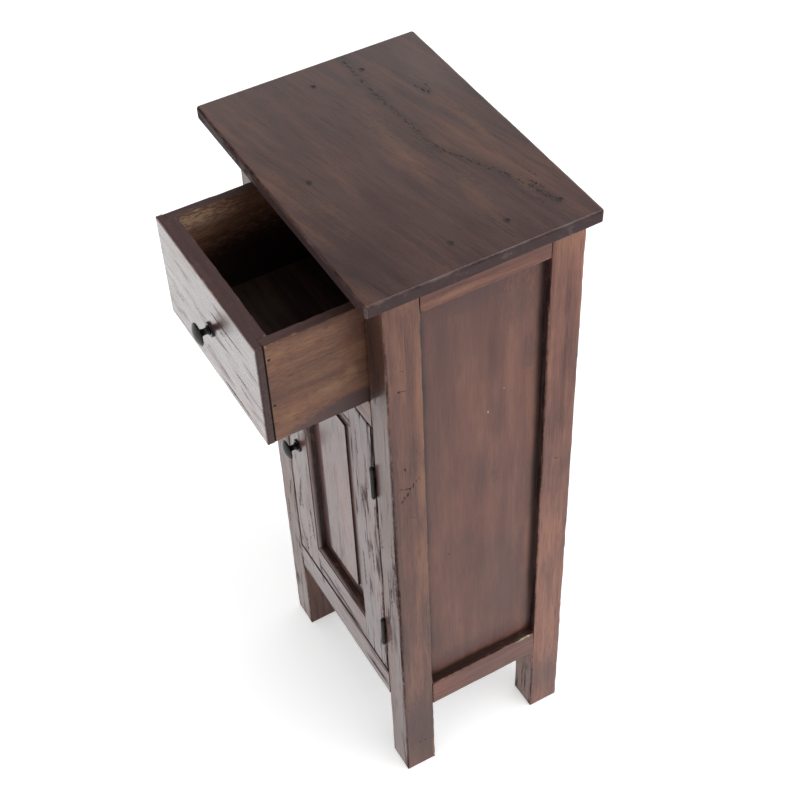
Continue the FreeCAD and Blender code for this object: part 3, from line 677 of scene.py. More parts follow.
front = base | {
    "tones": colours(55, 22, 20, 110, 46, 41, 180, 84, 72, 260, 135, 112),
    "golden_share": 0.1, "dash_from": 0.65, "front_coat": 0.68, "roughness": 0.34, "bump": 0.7,
    "coat_roughness": 0.2, "streaky": 0.45, "grime": 0.35, "smudge": 1.05,
    # The slope colour paints shade on the walls of the fronts' steps, grooves and gaps.
    "slope_shade": 0.85, "slope_shade_colour": (0.026, 0.014, 0.012),
}
recipes = {
    "top": base | {
        "tones": colours(22, 9, 8, 44, 18, 14, 64, 26, 19, 90, 39, 25),
        "golden": (0.115, 0.049, 0.027), "golden_share": 0.22, "stain": (0.034, 0.015, 0.016),
        "slant": math.radians(12.0), "clouds": 0.3, "streaks": 0.35, "streaks_steps": (8.0, 150.0),
        "dashes": 0.25, "dash_from": 0.70, "edge_splits": 0.0, "bump": 0.12, "worn": 0.20,
        # The top's worn arrises take a paler brown: partly bare wood, partly a painted highlight along the
        # arris.
        "worn_tone": worn_and_highlight_brown, "grime": 0.9, "arris_dull": 1.0, "roughness": 0.27, "specular": 0.5,
        "coat": 0.75, "front_coat": -0.5, "coat_roughness": 0.22, "streaky": 0.15,
    },
    "post": base | {
        "streaks": 0.32, "golden_share": 0.40, "stain_share": 0.3, "front_dashes": 0.4, "smudge": 0.7,
    },
    "rear_post": brighter(base, 1.62, 1.56, 1.48) | {
        "golden": (0.400, 0.195, 0.110), "golden_share": 0.34, "stain_share": 0.15, "streaks": 0.28,
        "front_dashes": 0.25, "front_coat": 0.2,
    },
    "rail": brighter(base, 1.25, 1.12, 1.08) | {
        "stain_share": 0.2, "dash_from": 0.67, "front_dashes": 0.6,
    },
    "side": base | {
        "tones": colours(75, 28, 22, 114, 46, 35, 150, 62, 46, 194, 87, 61),
        "golden": (0.235, 0.108, 0.062), "golden_share": 0.30, "dashes": 0.03, "front_dashes": 0.02,
        # The rim darkens each side panel near its frame: painted shade.
        "worn": 0.0, "grime": 0.0, "rim": (0.017, 0.008), "roughness": 0.42, "streaks": 0.12,
        "fibres": 0.12, "pores": 0.22, "front_coat": 0.0, "smudge": 0.3,
    },
    "front": front,
    "panel": front | {"front_dashes": 0.3, "streaky": 0.25, "edge_splits": 0.0, "smudge": 0.3},
    "drawer_front": base | {
        "tones": colours(70, 30, 26, 124, 58, 49, 184, 93, 78, 245, 133, 110),
        "golden_share": 0.0, "dash_from": 0.665, "front_coat": 1.0, "roughness": 0.30,
        "coat_ior": 1.88, "coat_roughness": 0.22, "streaky": 0.2, "edge_splits": 0.02, "smudge": 0.6,
    },
    "drawer": base | {
        "tones": colours(56, 21, 13, 112, 48, 29, 168, 76, 44, 235, 112, 62),
        "golden": (0.350, 0.185, 0.102), "golden_share": 0.25, "roughness": 0.46, "coat": 0.0,
        "front_coat": 0.0, "front_dashes": 0.1, "broad": 0.45, "streaks": 0.18, "fibres": 0.5,
        "pores": 0.5, "fibres_steps": (90.0, 1400.0),
    },
    # The pieces inside are kept near-black: painted shade inside the case and the drawer.
    "inner": base | {
        "tones": colours(8, 4, 3, 18, 9, 7, 30, 15, 11, 50, 26, 18),
        "golden": (0.090, 0.047, 0.028), "golden_share": 0.1, "roughness": 0.55, "coat": 0.0,
        "front_coat": 0.0, "front_dashes": 0.1,
    },
}
print(len(recipes), "recipes for wood")


# %% [markdown]
# ## The case
#
# The case is four posts and nine rails round three thin panels, with the top nailed over them. The
# tall pieces have their grain upright, the rails along their length, and the top from side to
# side, a little slantwise, as its dark streak shows.
#
# Marks are laid on one plane of the table at a time. A row holds the two places on the plane that
# a split runs between, or the middle of a patch and its reach along X, Y and Z, all in
# millimetres. The rest of a row is in the order of `crack` and `patch`. Rows for whole boards hold
# the grain's direction, the recipe, how far the arrises are worn, in metres, and a seed.

# %% A board with its finish
def dressed(node, grain, recipe, wear, seed, marks=(), dark_sides=()):
    """Builds a worn board and gives it its own piece of wood."""
    piece = worn_board(node, grain, wear, seed)
    low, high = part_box(node)
    finish = wood_finish("wood_" + node, recipes[recipe], low, high, grain, seed, marks, dark_sides)
    piece.data.materials.append(finish)
    return piece


# %% Marks on one plane
PLANES = {
    "top": (2, 880), "side": (0, 160.6), "panel": (0, 150.6), "front": (1, -103),
    "drawer_face": (1, -221), "drawer_side": (0, 117.5), "drawer_inside": (0, -105.5),
}


def spot(plane, first, second):
    """A place on a named plane, given in millimetres."""
    axis, level = PLANES[plane]
    place = [first, second]
    place.insert(axis, level)
    return Vector(place) / 1000


def crack(plane, a, b, to_a, to_b, width, broken=False, share=0.95, soft=0.3, colour=None, dull=0.0):
    """A split between two places. Without a colour it is open and dark."""
    return {
        "start": spot(plane, a, b), "end": spot(plane, to_a, to_b), "width": width / 1000,
        "broken": broken, "share": share, "soft": soft, "colour": colour, "dull": dull,
    }


def patch(plane, a, b, reach, colour, share=0.85, core=0.55, ragged=1.2, dull=0.0):
    """A patch of colour, full up to its core and ragged at its rim."""
    return {
        "at": spot(plane, a, b), "size": Vector(reach) / 1000, "colour": colour, "share": share,
        "core": core, "ragged": ragged, "dull": dull,
    }


def cracks(plane, *rows):
    return [crack(plane, *row) for row in rows]


def patches(plane, *rows):
    return [patch(plane, *row) for row in rows]


def smears(plane, *rows, share=0.85):
    """Plum smears of old stain."""
    return [crack(plane, *row, False, share, 0.0, smear_plum, 0.9) for row in rows]


def dark(axis, sign, share, colour, dull=0.5, **others):
    """A darker colour on the faces of a board that look one way along an axis; on some boards it is painted
    shade.
    """
    return {"axis": axis, "sign": sign, "share": share, "colour": colour, "dull": dull} | others


# %% The top board
# The streak brown darkens the top's dark streak, and along the front it also paints a darker front where
# the lacquer shines less; the paler brown is painted sheen at the back-left.
dark_knot, streak_and_shade_brown = colours(8, 5, 4, 16, 8, 7)
golden_streak, painted_sheen_brown = colours(140, 66, 34, 80, 44, 36)
edge_plum, underside_brown = colours(48, 28, 29, 40, 19, 15)
streak_path = ((-187, 38), (-100, 38), (15, 46), (92, 84), (150, 102))
nail_places = (-149.6, -12.1), (-149.6, 47.1), (149.6, -20.1), (149.6, 43.6), (-4.8, -92), (149.6, 103.9)
top_marks = []
for start, end in zip(streak_path, streak_path[1:]):
    top_marks.append(crack("top", *start, *end, 13, False, 0.5, 0.0, streak_and_shade_brown))
    top_marks.append(crack("top", *start, *end, 4, True, 0.7, 0.0))
top_marks += cracks(
    "top", (-93, 82, -72, 88, 4, True, 0.8), (-90, 92, -76, 93, 2, True, 0.8), (109, 97, 126, 103, 1.3),
    (118, 92, 131, 96, 1.1), (96, 104, 106, 108, 1.1), (138, 88, 146, 90, 1.1),
) + patches(
    "top",
    (-84, 87, (24, 10, 20), streak_and_shade_brown, 0.6, 0, 2.4),
    (12, 99, (60, 9, 20), golden_streak, 0.3, 0, 2),
    (104, 89, (40, 8, 20), golden_streak, 0.3, 0, 2),
    (-20, 12, (100, 16, 20), golden_streak, 0.28, 0, 2.4),
    (100, 40, (70, 16, 20), golden_streak, 0.27, 0, 2.4),
    # Painted sheen: the wide patches along the front and at the front-right corner darken it, and the pale
    # patch at the back-left lightens it.
    (35, -108, (110, 24, 20), streak_and_shade_brown, 0.42, 0),
    (-110, 108, (90, 34, 20), painted_sheen_brown, 0.5, 0),
    (10, -60, (60, 11, 20), golden_streak, 0.2, 0, 2),
    (120, -95, (110, 55, 20), streak_and_shade_brown, 0.45, 0),
    *((x, y, (5.5, 3.6, 20), dark_knot, 0.6, 0.55, 1.2, 0.4) for x, y in nail_places),
)
top_sides = [dark(axis, sign, 0.85, edge_plum, 1.0) for axis in "XY" for sign in (1.0, -1.0)]
top_sides.append(dark("Z", -1.0, 0.9, underside_brown, 1.6))
top = dressed("top_board", "x", "top", 0.0007, 1.0, top_marks, top_sides)
print("the top has", len(top.data.polygons), "faces")

# %% Marks on the posts
foot_plum, drawer_shade_and_reflection, pale_chip = colours(60, 28, 28, 30, 14, 10, 420, 330, 240)
right_post_marks = cracks(
    "side",
    (-91.8, 550.6, -78.4, 568.2, 2.8, True), (-78.4, 568.2, -71.8, 578.6, 2.8, True),
    (-78.4, 568.2, -95.3, 572.7, 1.2), (-84.7, 520.2, -72, 515.7, 0.8), (-83.8, 54.4, -60.7, 52.3, 0.9),
    (-87.9, 750.9, -75.3, 749.9, 0.7), (-71.8, 576.6, -66, 579, 0.9), (-84, 560, -80, 549, 0.9),
    (-90, 722, -80.5, 720, 1.1), (-89, 604, -86, 600, 1.2),
) + cracks(
    "front", (131, 720, 134, 690, 1.2), (124.7, 475, 126.5, 440, 1.1), (149.5, 470, 151, 430, 1),
    (141.5, 400, 143, 350, 1.2),
) + patches(
    # Painted shade and reflection: the right post's front face beside the drawer is darkened where it
    # mirrors the drawer's dark side.
    "front", (141, 768, (28, 5, 108), drawer_shade_and_reflection, 0.75, 0.4, 1, 0.5),
    (160.6, 391, (6, 4, 9), black_wax_and_shade, 0.9, 0.55, 1.2, 0.5),
) + patches(
    "side", (-82, 90, (30, 40, 110), foot_plum, 0.75, 0.2), (-100, 400, (8, 9, 330), foot_plum, 0.6, 0.1),
) + patches(
    "front", (159.6, 430, (5, 3, 330), smear_plum, 0.7, 0.2, 2, 0.8),
) + patches(
    "side",
    (-63, 26, (8, 4, 50), golden_red, 0.4, 0, 0.8),
    (-67, 560, (8, 9, 75), (0.300, 0.140, 0.076), 0.45, 0, 0.8),
    (-66, 700, (8, 10, 160), golden_brown, 0.5, 0, 0.8),
    (-78, 850, (8, 22, 35), golden_red, 0.5, 0, 1),
) + patches(
    "front", (131, 696, (5, 6, 12), black_wax_and_shade, 0.6, 0.55, 2.4),
) + smears("front", (153.5, 440, 155, 361, 3.0), (133, 330, 136, 262, 2.6))
left_post_marks = cracks("front", (-124.2, 342, -122.8, 312, 1.2, True)) + smears(
    "front", (-132, 304, -137, 276, 4.2), (-134, 181, -126, 168, 3.6), (-126, 156, -122, 128, 4),
    (-151, 82, -139, 74, 3.2), (-148, 250, -150, 205, 3),
)
rear_post_marks = cracks("side", (106.6, 509.1, 119.4, 499.8, 0.8)) + patches(
    "side", (112, 60, (30, 40, 60), foot_plum, 0.5, 0.2),
    (108, 845, (8, 24, 45), golden_pale, 0.5, 0, 1),
)

# %% Posts
rail_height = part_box("right_bottom_rail")[1].z
# Painted shade: the rear posts' faces that look forwards into the side recess are darkened above the bottom
# rail.
recess_shade = [dark("Y", -1.0, 0.85, (0.018, 0.011, 0.012), above=rail_height)]
posts = {
    "front_left_post": ("post", 0.0008, 2.0, left_post_marks),
    "front_right_post": ("post", 0.0011, 3.3, right_post_marks),
    "rear_left_post": ("rear_post", 0.0008, 4.6, (), recess_shade),
    "rear_right_post": ("rear_post", 0.0009, 5.9, rear_post_marks, recess_shade),
}
for node, settings in posts.items():
    dressed(node, "z", *settings)
print(len(posts), "posts")

# %% Rails
rail_marks = {
    "right_top_rail": patches("side", (-25, 826, (8, 50, 8), (0.330, 0.155, 0.080), 0.5, 0.0)),
    "right_bottom_rail": patches(
        "side", (75, 173, (6, 12, 4), pale_chip, 0.9, 0.55, 2.4, 0.6),
        (83, 172.5, (4, 1.6, 3.2), (0.62, 0.52, 0.42), 0.9, 0.55, 1.5, 0.6),
    ),
    "front_bottom_rail": smears("front", (-60, 183, -57, 172, 3.4), (-98, 180, -88, 174, 3.4)),
}
# The rails' top faces are darkened: partly dark stain, partly painted shade on the ledges under the side
# panels.
rail_top = [dark("Z", 1.0, 0.85, black_wax_and_shade)]
cross_rails = (
    ("front_top_rail", "rail", rail_top), ("drawer_divider_rail", "rail", rail_top),
    ("front_bottom_rail", "front", ()), ("back_top_rail", "rail", rail_top),
    ("back_bottom_rail", "rail", rail_top),
)
side_rails = ("left_top_rail", "right_top_rail", "left_bottom_rail", "right_bottom_rail")
for number, (node, recipe, upper) in enumerate(cross_rails):
    dressed(node, "x", recipe, 0.0005, 9.0 + number * 1.1, rail_marks.get(node, ()), upper)
for number, node in enumerate(side_rails):
    dressed(node, "y", "rail", 0.0006, 16.0 + number * 1.1, rail_marks.get(node, ()), rail_top)
print(len(cross_rails) + len(side_rails), "rails")

# %% Panels
side_marks = patches(
    "panel",
    # Painted shade: the wide plum band along the top of the panel, under the top rail. The other plum
    # patches are stain, the dark ones knots and the pale ones chips.
    (0, 800, (8, 110, 26), plum_stain_and_shade, 0.75, 0.1, 1.6), (60, 770, (8, 45, 60), plum_stain_and_shade, 0.6, 0, 1.6),
    (34, 511, (8, 9, 22), plum_stain_and_shade, 0.6, 0.1, 2), (90, 223, (8, 18, 60), plum_stain_and_shade, 0.7, 0.1, 1.6),
    (0, 200, (8, 110, 22), plum_stain_and_shade, 0.6, 0.1, 1.6), (76, 689, (8, 12, 50), plum_stain_and_shade, 0.6, 0.1, 1.6),
    (-28.3, 407.7, (3, 1.6, 2.4), dark_knot, 0.8), (18.6, 407.1, (3, 1.4, 1.6), dark_knot, 0.8),
    (23.9, 621.5, (3, 1, 2.6), pale_chip, 0.9), (44, 648, (3, 0.9, 1.2), pale_chip, 0.8),
)
for number, node in enumerate(("left_side_panel", "right_side_panel", "back_panel")):
    marks = side_marks if node == "right_side_panel" else ()
    dressed(node, "z", "side", 0.0002, 23.0 + number * 1.7, marks)

# %% Inside the case
paired = ("floor_cleat", "drawer_runner", "drawer_kicker", "drawer_guide")
inside = {
    "cupboard_floor": "x",
    **{f"{side}_{piece}": "y" for piece in paired for side in ("left", "right")},
    "drawer_stops": "x", "door_stop": "x",
}
for number, (node, grain) in enumerate(inside.items()):
    dressed(node, grain, "inner", 0.0003, 31.0 + number * 0.9)
print(len(inside), "pieces inside the case")

# %% [markdown]
# ## The door and the drawer
#
# The door is a mortised frame round a raised panel, and the drawer is a box whose front laps over
# its sides. Their faces carry the most lacquer, and the deepest splits.

# %% The door's frame and panel
hinge_stile_marks = cracks(
    "front", (79.4, 600, 80.6, 560, 1.3), (98.4, 575, 99.6, 520, 1.2), (113.8, 585, 115, 545, 1.2),
    (90, 430, 91, 385, 1.2),
) + smears(
    "front", (117, 508, 118, 470, 3.6), (117.2, 346, 117.8, 264, 3), (111, 566, 113, 516, 3.4),
    (86, 512, 88, 460, 3), (100, 420, 102, 372, 3), (75, 380, 77, 318, 2.6),
)
latch_stile_marks = cracks(
    "front", (-100.4, 315, -99, 280, 1.4), (-98.8, 225, -98, 195, 1.3), (-86, 270, -85, 235, 1.2),
    (-78, 330, -77, 290, 1.1),
) + smears(
    "front", (-96.6, 344, -107.8, 280, 3.6), (-113, 246, -99, 200, 3.2),
    (-117, 210, -98, 189, 3), (-75, 300, -73, 250, 2.6),
) + patches("front", (-83, 264, (2.6, 4, 3.4), smear_plum, 0.7, 0.55, 1.0, 0.6))
low_smears = smears("front", (-64, 207, -60, 188, 3.6), (-19, 214, -8, 208, 3.0))
door = {
    "door_hinge_stile": ("z", "front", 0.0005, 44.0, hinge_stile_marks),
    "door_latch_stile": ("z", "front", 0.0005, 45.3, latch_stile_marks),
    "door_top_rail": ("x", "front", 0.0005, 46.6),
    "door_bottom_rail": ("x", "front", 0.0005, 47.9, low_smears),
    "door_panel": ("z", "panel", 0.0002, 51.0),
}
for node, settings in door.items():
    dressed(node, *settings)
print(len(door), "boards in the door")

# %% The drawer
drawer_tops = [dark("Z", 1.0, 0.9, (0.048, 0.029, 0.028))]
drawer_ends = [dark("X", sign, 0.85, (0.042, 0.026, 0.025)) for sign in (1.0, -1.0)]
bright_core, painted_light_pale, painted_light_palest = colours(345, 190, 95, 460, 300, 210, 600, 400, 260)
outer_marks = patches(
    "drawer_side",
    (-70, 680, (8, 140, 27), (0.055, 0.033, 0.034), 0.85, 0.7, 0.5),
    (-213, 748, (8, 3, 300), black_wax_and_shade, 1, 0.8, 0.3, 1),
    (-209, 812, (8, 2, 2), (0.450, 0.180, 0.060), 0.6),
    (-200, 735, (8, 20, 22), plum_stain_and_shade, 0.35, 0),
    (-143, 722, (8, 34, 13), bright_core, 0.45, 0, 1.4),
    (-120, 733, (8, 12, 18), bright_core, 0.4, 0, 1),
    (-192, 706, (8, 24, 9), bright_core, 0.4, 0, 1.6),
    # Painted shade where the top overhangs the drawer's side.
    (-112, 792, (8, 24, 24), (0.085, 0.036, 0.026), 0.6, 0),
)
inner_marks = patches(
    "drawer_inside",
    # Painted light and shade on the inside of the drawer's left wall: the pale patches near the top front
    # are a pool of light, and the large dark patch low down is shade.
    (-180, 798, (8, 70, 26), painted_light_pale, 0.5, 0, 2),
    (-190, 803, (8, 42, 11), painted_light_palest, 0.6, 0, 3.2),
    (-150, 786, (8, 60, 9), black_wax_and_shade, 0.25, 0, 2.6),
    (-100, 706, (9, 185, 88), black_wax_and_shade, 0.97, 0.45, 0.8),
)
face_smears = smears(
    "drawer_face", (-98, 731, -74, 728, 2.4), (-14, 712, 34, 706, 2.4), (66, 718, 96, 714, 2.4),
    (22, 768, 58, 764, 2.4), (-62, 694, -30, 691, 2.4), (-40, 752, -12, 750, 2.4),
    (40, 690, 78, 688, 2.4), share=0.7,
)
drawer = {
    "drawer_front": ("x", "drawer_front", 0.0005, 60.0, face_smears, drawer_tops + drawer_ends),
    "drawer_left_side": ("y", "drawer", 0.0003, 62.0, inner_marks, drawer_tops),
    "drawer_right_side": ("y", "drawer", 0.0003, 63.3, outer_marks, drawer_tops),
    "drawer_back": ("x", "drawer", 0.0003, 64.6, (), drawer_tops),
    "drawer_bottom": ("x", "inner", 0.0003, 67.0),
}
for node, settings in drawer.items():
    dressed(node, *settings)
print(len(drawer), "boards in the drawer")

# %% [markdown]
# ## Iron and steel
#
# The knobs and hinges are iron, lacquered black. Where hands and the door rub it, the lacquer is
# thin and a brown-grey metal shows. One finish makes both: it is paint that doesn't conduct,
# mixed with bare metal where a noise pattern says that it has worn off.

# %% Metal finishes
cloud_steps, pit_steps = 140.0, 836.0
rubbed_rise, rubbed_roughness = (0.56, 0.64), 0.12
pits_rubbed, cloud_uneven, cloud_paint, dark_paint = 0.5, 0.3, 0.8, 0.55
metal_bump, metal_bump_distance = 0.35, 0.0004


def metal(name, paint, bare, bare_share, roughness, specular=0.5):
    """Painted or dull metal with rubbed spots and fine pits."""
    material, bench = new_finish(name)
    place = bench.where()
    cloud = bench.noise(place, cloud_steps, cloud_steps, 3.0, 0.6)
    pits = bench.noise(place, pit_steps, pit_steps, 2.0, 0.6)
    rubbed = (cloud + pits.swing(pits_rubbed)).rise(*rubbed_rise) * bare_share
    dull_paint = tuple(channel * dark_paint for channel in paint)
    painted = bench.mix(cloud.swing(cloud_paint) + noise_middle, dull_paint, paint)
    bench.cover(bench.shader({
        "Base Color": bench.mix(rubbed, painted, bare),
        "Metallic": rubbed,
        "Roughness": roughness + cloud.swing(cloud_uneven) + rubbed * rubbed_roughness,
        "Specular IOR Level": specular,
        "Normal": bench.bump(pits * 0.4 + cloud * 0.3 - rubbed * 0.2, metal_bump, metal_bump_distance),
    }))
    return material


black_iron = metal("black_iron", (0.008, 0.008, 0.008), (0.07, 0.06, 0.055), 0.20, 0.19, 0.27)
hinge_iron = metal("hinge_iron", (0.009, 0.008, 0.008), (0.08, 0.07, 0.06), 0.30, 0.46, 0.22)
dull_steel = metal("dull_steel", (0.16, 0.15, 0.14), (0.34, 0.32, 0.30), 0.9, 0.42)
nail_iron = metal("nail_iron", (0.030, 0.022, 0.018), (0.12, 0.10, 0.085), 0.5, 0.50)
print("four metals")

# %% [markdown]
# ## The knobs
#
# A knob is turned, so its shape is one outline spun about an axis. The outline's corners are shares
# of the knob's radius and of how far it stands out: a flat rose, a small bead, a waist, and a
# domed disc. Between them it runs straight or on an arc through three points, so it stays crisp
# where a single curve through all of them would round the rose's edge.

# %% Draw an arc
def arc(start, middle, end, steps):
    """Points on the arc from start through middle to end, without the start."""
    (ax, ay), (bx, by), (cx, cy) = start, middle, end
    twice = 2 * (ax * (by - cy) + bx * (cy - ay) + cx * (ay - by))
    squares = [x * x + y * y for x, y in (start, middle, end)]
    ux = (squares[0] * (by - cy) + squares[1] * (cy - ay) + squares[2] * (ay - by)) / twice
    uy = (squares[0] * (cx - bx) + squares[1] * (ax - cx) + squares[2] * (bx - ax)) / twice
    centre = Vector((ux, uy))
    first, between, last = (Vector(place) - centre for place in (start, middle, end))
    turn = first.angle_signed(between) + between.angle_signed(last)
    points = []
    for step in range(1, steps + 1):
        angle = -turn * step / steps
        cosine, sine = math.cos(angle), math.sin(angle)
        points.append((ux + first.x * cosine - first.y * sine, uy + first.x * sine + first.y * cosine))
    return points


# %% Draw the outline of a knob
knob_turns = 64
knob_crisp_degrees = 40
rose_foot = (0.66, 0.0)
knob_strokes = (
    ((0.66, 0.085), (0.652, 0.103), (0.63, 0.11), 3),  # the rose's edge
    ((0.37, 0.11), (0.43, 0.165), (0.33, 0.21), 8),  # the bead
    ((0.33, 0.21), (0.27, 0.36), (0.39, 0.59), 12),  # the waist
    ((0.39, 0.59), (0.74, 0.66), (0.96, 0.70), 8),  # the back of the disc
    ((0.96, 0.70), (1.0, 0.76), (0.96, 0.82), 8),  # its rim
    ((0.96, 0.82), (0.50, 0.955), (0.0, 1.0), 12),  # the dome
)


def knob_outline(radius, reach):
    """The outline from the rose's foot to the tip, as distances from the axis and from the wood."""
    outline, last = [(rose_foot[0] * radius, rose_foot[1] * reach)], None
    for *stroke, steps in knob_strokes:
        places = [(across * radius, out * reach) for across, out in stroke]
        outline += ([] if stroke[0] == last else places[:1]) + arc(*places, steps)
        last = stroke[2]
    return outline


print("the outline has", len(knob_outline(1.0, 1.0)), "points")


# %% Spin the knobs
def knob(node):
    """A turned knob in place of the drawn one, its axis along -Y."""
    low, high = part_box(node)
    radius, reach = (high.x - low.x) / 2, high.y - low.y
    middle = Vector(((low.x + high.x) / 2, high.y, (low.z + high.z) / 2))
    angles = [2 * math.pi * step / knob_turns for step in range(knob_turns)]
    shape = bmesh.new()
    rows = []
    for across, out in knob_outline(radius, reach)[:-1]:
        ring = [Vector((across * math.cos(angle), -out, across * math.sin(angle))) for angle in angles]
        rows.append([shape.verts.new(middle + place) for place in ring])
    tip = shape.verts.new(middle - Vector((0.0, reach, 0.0)))
    for step in range(knob_turns):
        after = (step + 1) % knob_turns
        for lower, upper in zip(rows, rows[1:]):
            shape.faces.new([lower[step], lower[after], upper[after], upper[step]])
        shape.faces.new([rows[-1][step], rows[-1][after], tip])
    shape.faces.new(rows[0])
    bmesh.ops.recalc_face_normals(shape, faces=shape.faces)
    piece = finished_piece("turned_" + node, shape, node, knob_crisp_degrees)
    piece.data.materials.append(black_iron)
    print(piece.name, "radius", round(radius * 1000, 1), "mm, stands out", round(reach * 1000, 1), "mm")


knob("door_knob")
knob("drawer_knob")

# %% [markdown]
# ## The hinges
#
# The hinge leaves and pins are drawn to size, and only their shading needs help: joined copies
# get smooth barrels and crisp edges.

# %% Smooth the hinges
hinge_crisp_degrees = 35


def smooth_copy(node, finish):
    """A drawn piece with smooth barrels and crisp edges."""
    piece = finished_piece("smooth_" + node, joined_copy(node), node, hinge_crisp_degrees)
    piece.data.materials.append(finish)


hinge_pieces = [node for node in frame["nodes"] if "_hinge_" in node and not node.startswith("door_")]
for node in hinge_pieces:
    smooth_copy(node, hinge_iron)
smooth_copy("door_strike_plate", dull_steel)
print(len(hinge_pieces), "hinge pieces")

# %% [markdown]
# ## Screws, nails and filler
#
# The table holds forty-two screws and nails, so they are made by Geometry Nodes: one tree makes a
# head and a shank and puts them on points, and the modifier's inputs say how large they are,
# whether the head has a slot, and how the heads are turned. Each drawn fastener is measured
# first: the middle of its head, the way it was driven and its length become a point. Instances
# are realized at the end, and the result is turned into a plain mesh.

# %% Measure the drawn fasteners
def loose_parts(node):
    """The points of each separate solid of a drawn piece."""
    shape = joined_copy(node)
    shape.verts.ensure_lookup_table()
    unseen, parts = set(range(len(shape.verts))), []
    while unseen:
        queue, part = [unseen.pop()], []
        while queue:
            vertex = shape.verts[queue.pop()]
            part.append(vertex.co.copy())
            for edge in vertex.link_edges:
                other = edge.other_vert(vertex).index
                if other in unseen:
                    unseen.remove(other)
                    queue.append(other)
        parts.append(part)
    shape.free()
    return parts


end_tolerance = 0.0001


def driven(part, axis=None):
    """The middle of a fastener's head, the direction it was driven in, its length and its radius."""
    low = Vector([min(point[a] for point in part) for a in range(3)])
    high = Vector([max(point[a] for point in part) for a in range(3)])
    axis = max(range(3), key=lambda a: high[a] - low[a]) if axis is None else axis
    middle, spread = (low + high) / 2, {}
    for end in (low[axis], high[axis]):
        rim = [point - middle for point in part if abs(point[axis] - end) < end_tolerance]
        spread[end] = max(math.hypot(*(p[a] for a in range(3) if a != axis)) for p in rim)
    head = low[axis] if spread[low[axis]] > spread[high[axis]] + same_place else high[axis]
    direction = Vector((0.0, 0.0, 0.0))
    direction[axis] = 1.0 if head == low[axis] else -1.0
    middle[axis] = head
    return middle, direction, high[axis] - low[axis], spread[head]


print("a cleat screw is", round(driven(loose_parts("cleat_screws")[0])[2] * 1000, 1), "mm long")


# %% Start a tree
def new_tree(name, **inputs):
    """A Geometry Nodes tree, the bench that fills it, and a Reading of each of its inputs."""
    tree = bpy.data.node_groups.new(name, "GeometryNodeTree")
    inputs = {"Geometry": "Geometry", **inputs, "Seed": "Int", "Finish": "Material"}
    for socket, kind in inputs.items():
        tree.interface.new_socket(socket.replace("_", " "), in_out="INPUT", socket_type="NodeSocket" + kind)
    tree.interface.new_socket("Geometry", in_out="OUTPUT", socket_type="NodeSocketGeometry")
    bench = Bench(tree)
    outputs = tree.nodes.new("NodeGroupInput").outputs
    return tree, bench, {name: Reading(bench, outputs[name.replace("_", " ")]) for name in inputs}


def put_on_points(bench, points, thing, turning=(0.0, 0.0, 0.0), scale=(1.0, 1.0, 1.0)):
    """Copies of a thing on points."""
    sockets = {"Points": points, "Instance": thing, "Rotation": turning, "Scale": scale}
    return bench.add("GeometryNodeInstanceOnPoints", sockets=sockets)


def end_tree(bench, shape, finish):
    """Gives a shape its finish and hands it to the tree's output."""
    covered = bench.add("GeometryNodeSetMaterial", sockets={"Geometry": shape, "Material": finish})
    bench.add("NodeGroupOutput", sockets={0: covered})


# %% Grow the tree for fasteners
head_sides, shank_sides = 20, 16
slot_long, slot_wide, slot_deep = 3.0, 0.26, 0.8

fastener_tree, bench, given = new_tree(
    "fasteners", Head_Radius="Float", Head_Height="Float", Shank_Radius="Float", Slotted="Bool"
)
drive = bench.add("GeometryNodeInputNamedAttribute", {"data_type": "FLOAT_VECTOR"}, {"Name": "drive"})
reach = bench.add("GeometryNodeInputNamedAttribute", {"data_type": "FLOAT"}, {"Name": "reach"})
aligned = bench.add("FunctionNodeAlignRotationToVector", {"axis": "Z"}, {"Vector": drive})
sockets = {2: 0.0, 3: 2.0 * math.pi, "Seed": given["Seed"]}
angle = bench.add("FunctionNodeRandomValue", {"data_type": "FLOAT"}, sockets, out=1)
spin = bench.add("FunctionNodeAxisAngleToRotation", sockets={"Axis": (0.0, 0.0, 1.0), "Angle": angle})
sockets = {"Rotation": aligned, "Rotate By": spin}
turning = bench.add("FunctionNodeRotateRotation", {"rotation_space": "LOCAL"}, sockets)

sockets = {"Vertices": head_sides, "Radius Top": given["Shank_Radius"]}
sockets |= {"Radius Bottom": given["Head_Radius"], "Depth": given["Head_Height"]}
head = bench.add("GeometryNodeMeshCone", sockets=sockets)
radius, depth = given["Head_Radius"], given["Head_Height"]
slot_size = bench.triple(radius * slot_long, radius * slot_wide, depth * slot_deep)
slot = bench.add("GeometryNodeMeshCube", sockets={"Size": slot_size})
settings = {"operation": "DIFFERENCE", "solver": "EXACT"}
cut = bench.add("GeometryNodeMeshBoolean", settings, {0: head, 1: slot})
sockets = {"Switch": given["Slotted"], "False": head, "True": cut}
head = bench.add("GeometryNodeSwitch", {"input_type": "GEOMETRY"}, sockets)
heads = put_on_points(bench, given["Geometry"], head, turning)

sockets = {"Vertices": shank_sides, "Radius": given["Shank_Radius"], "Depth": 1.0}
shank = bench.add("GeometryNodeMeshCylinder", sockets=sockets)
shank = bench.add("GeometryNodeTransform", sockets={"Geometry": shank, "Translation": (0.0, 0.0, 0.5)})
shanks = put_on_points(bench, given["Geometry"], shank, turning, bench.triple(1.0, 1.0, reach))

join = bench.tree.nodes.new("GeometryNodeJoinGeometry")
for part in (heads, shanks):
    bench.tree.links.new(part.socket, join.inputs[0])
plain = bench.add("GeometryNodeRealizeInstances", sockets={0: Reading(bench, join.outputs[0])})
end_tree(bench, plain, given["Finish"])
print("the tree has", len(fastener_tree.nodes), "nodes")


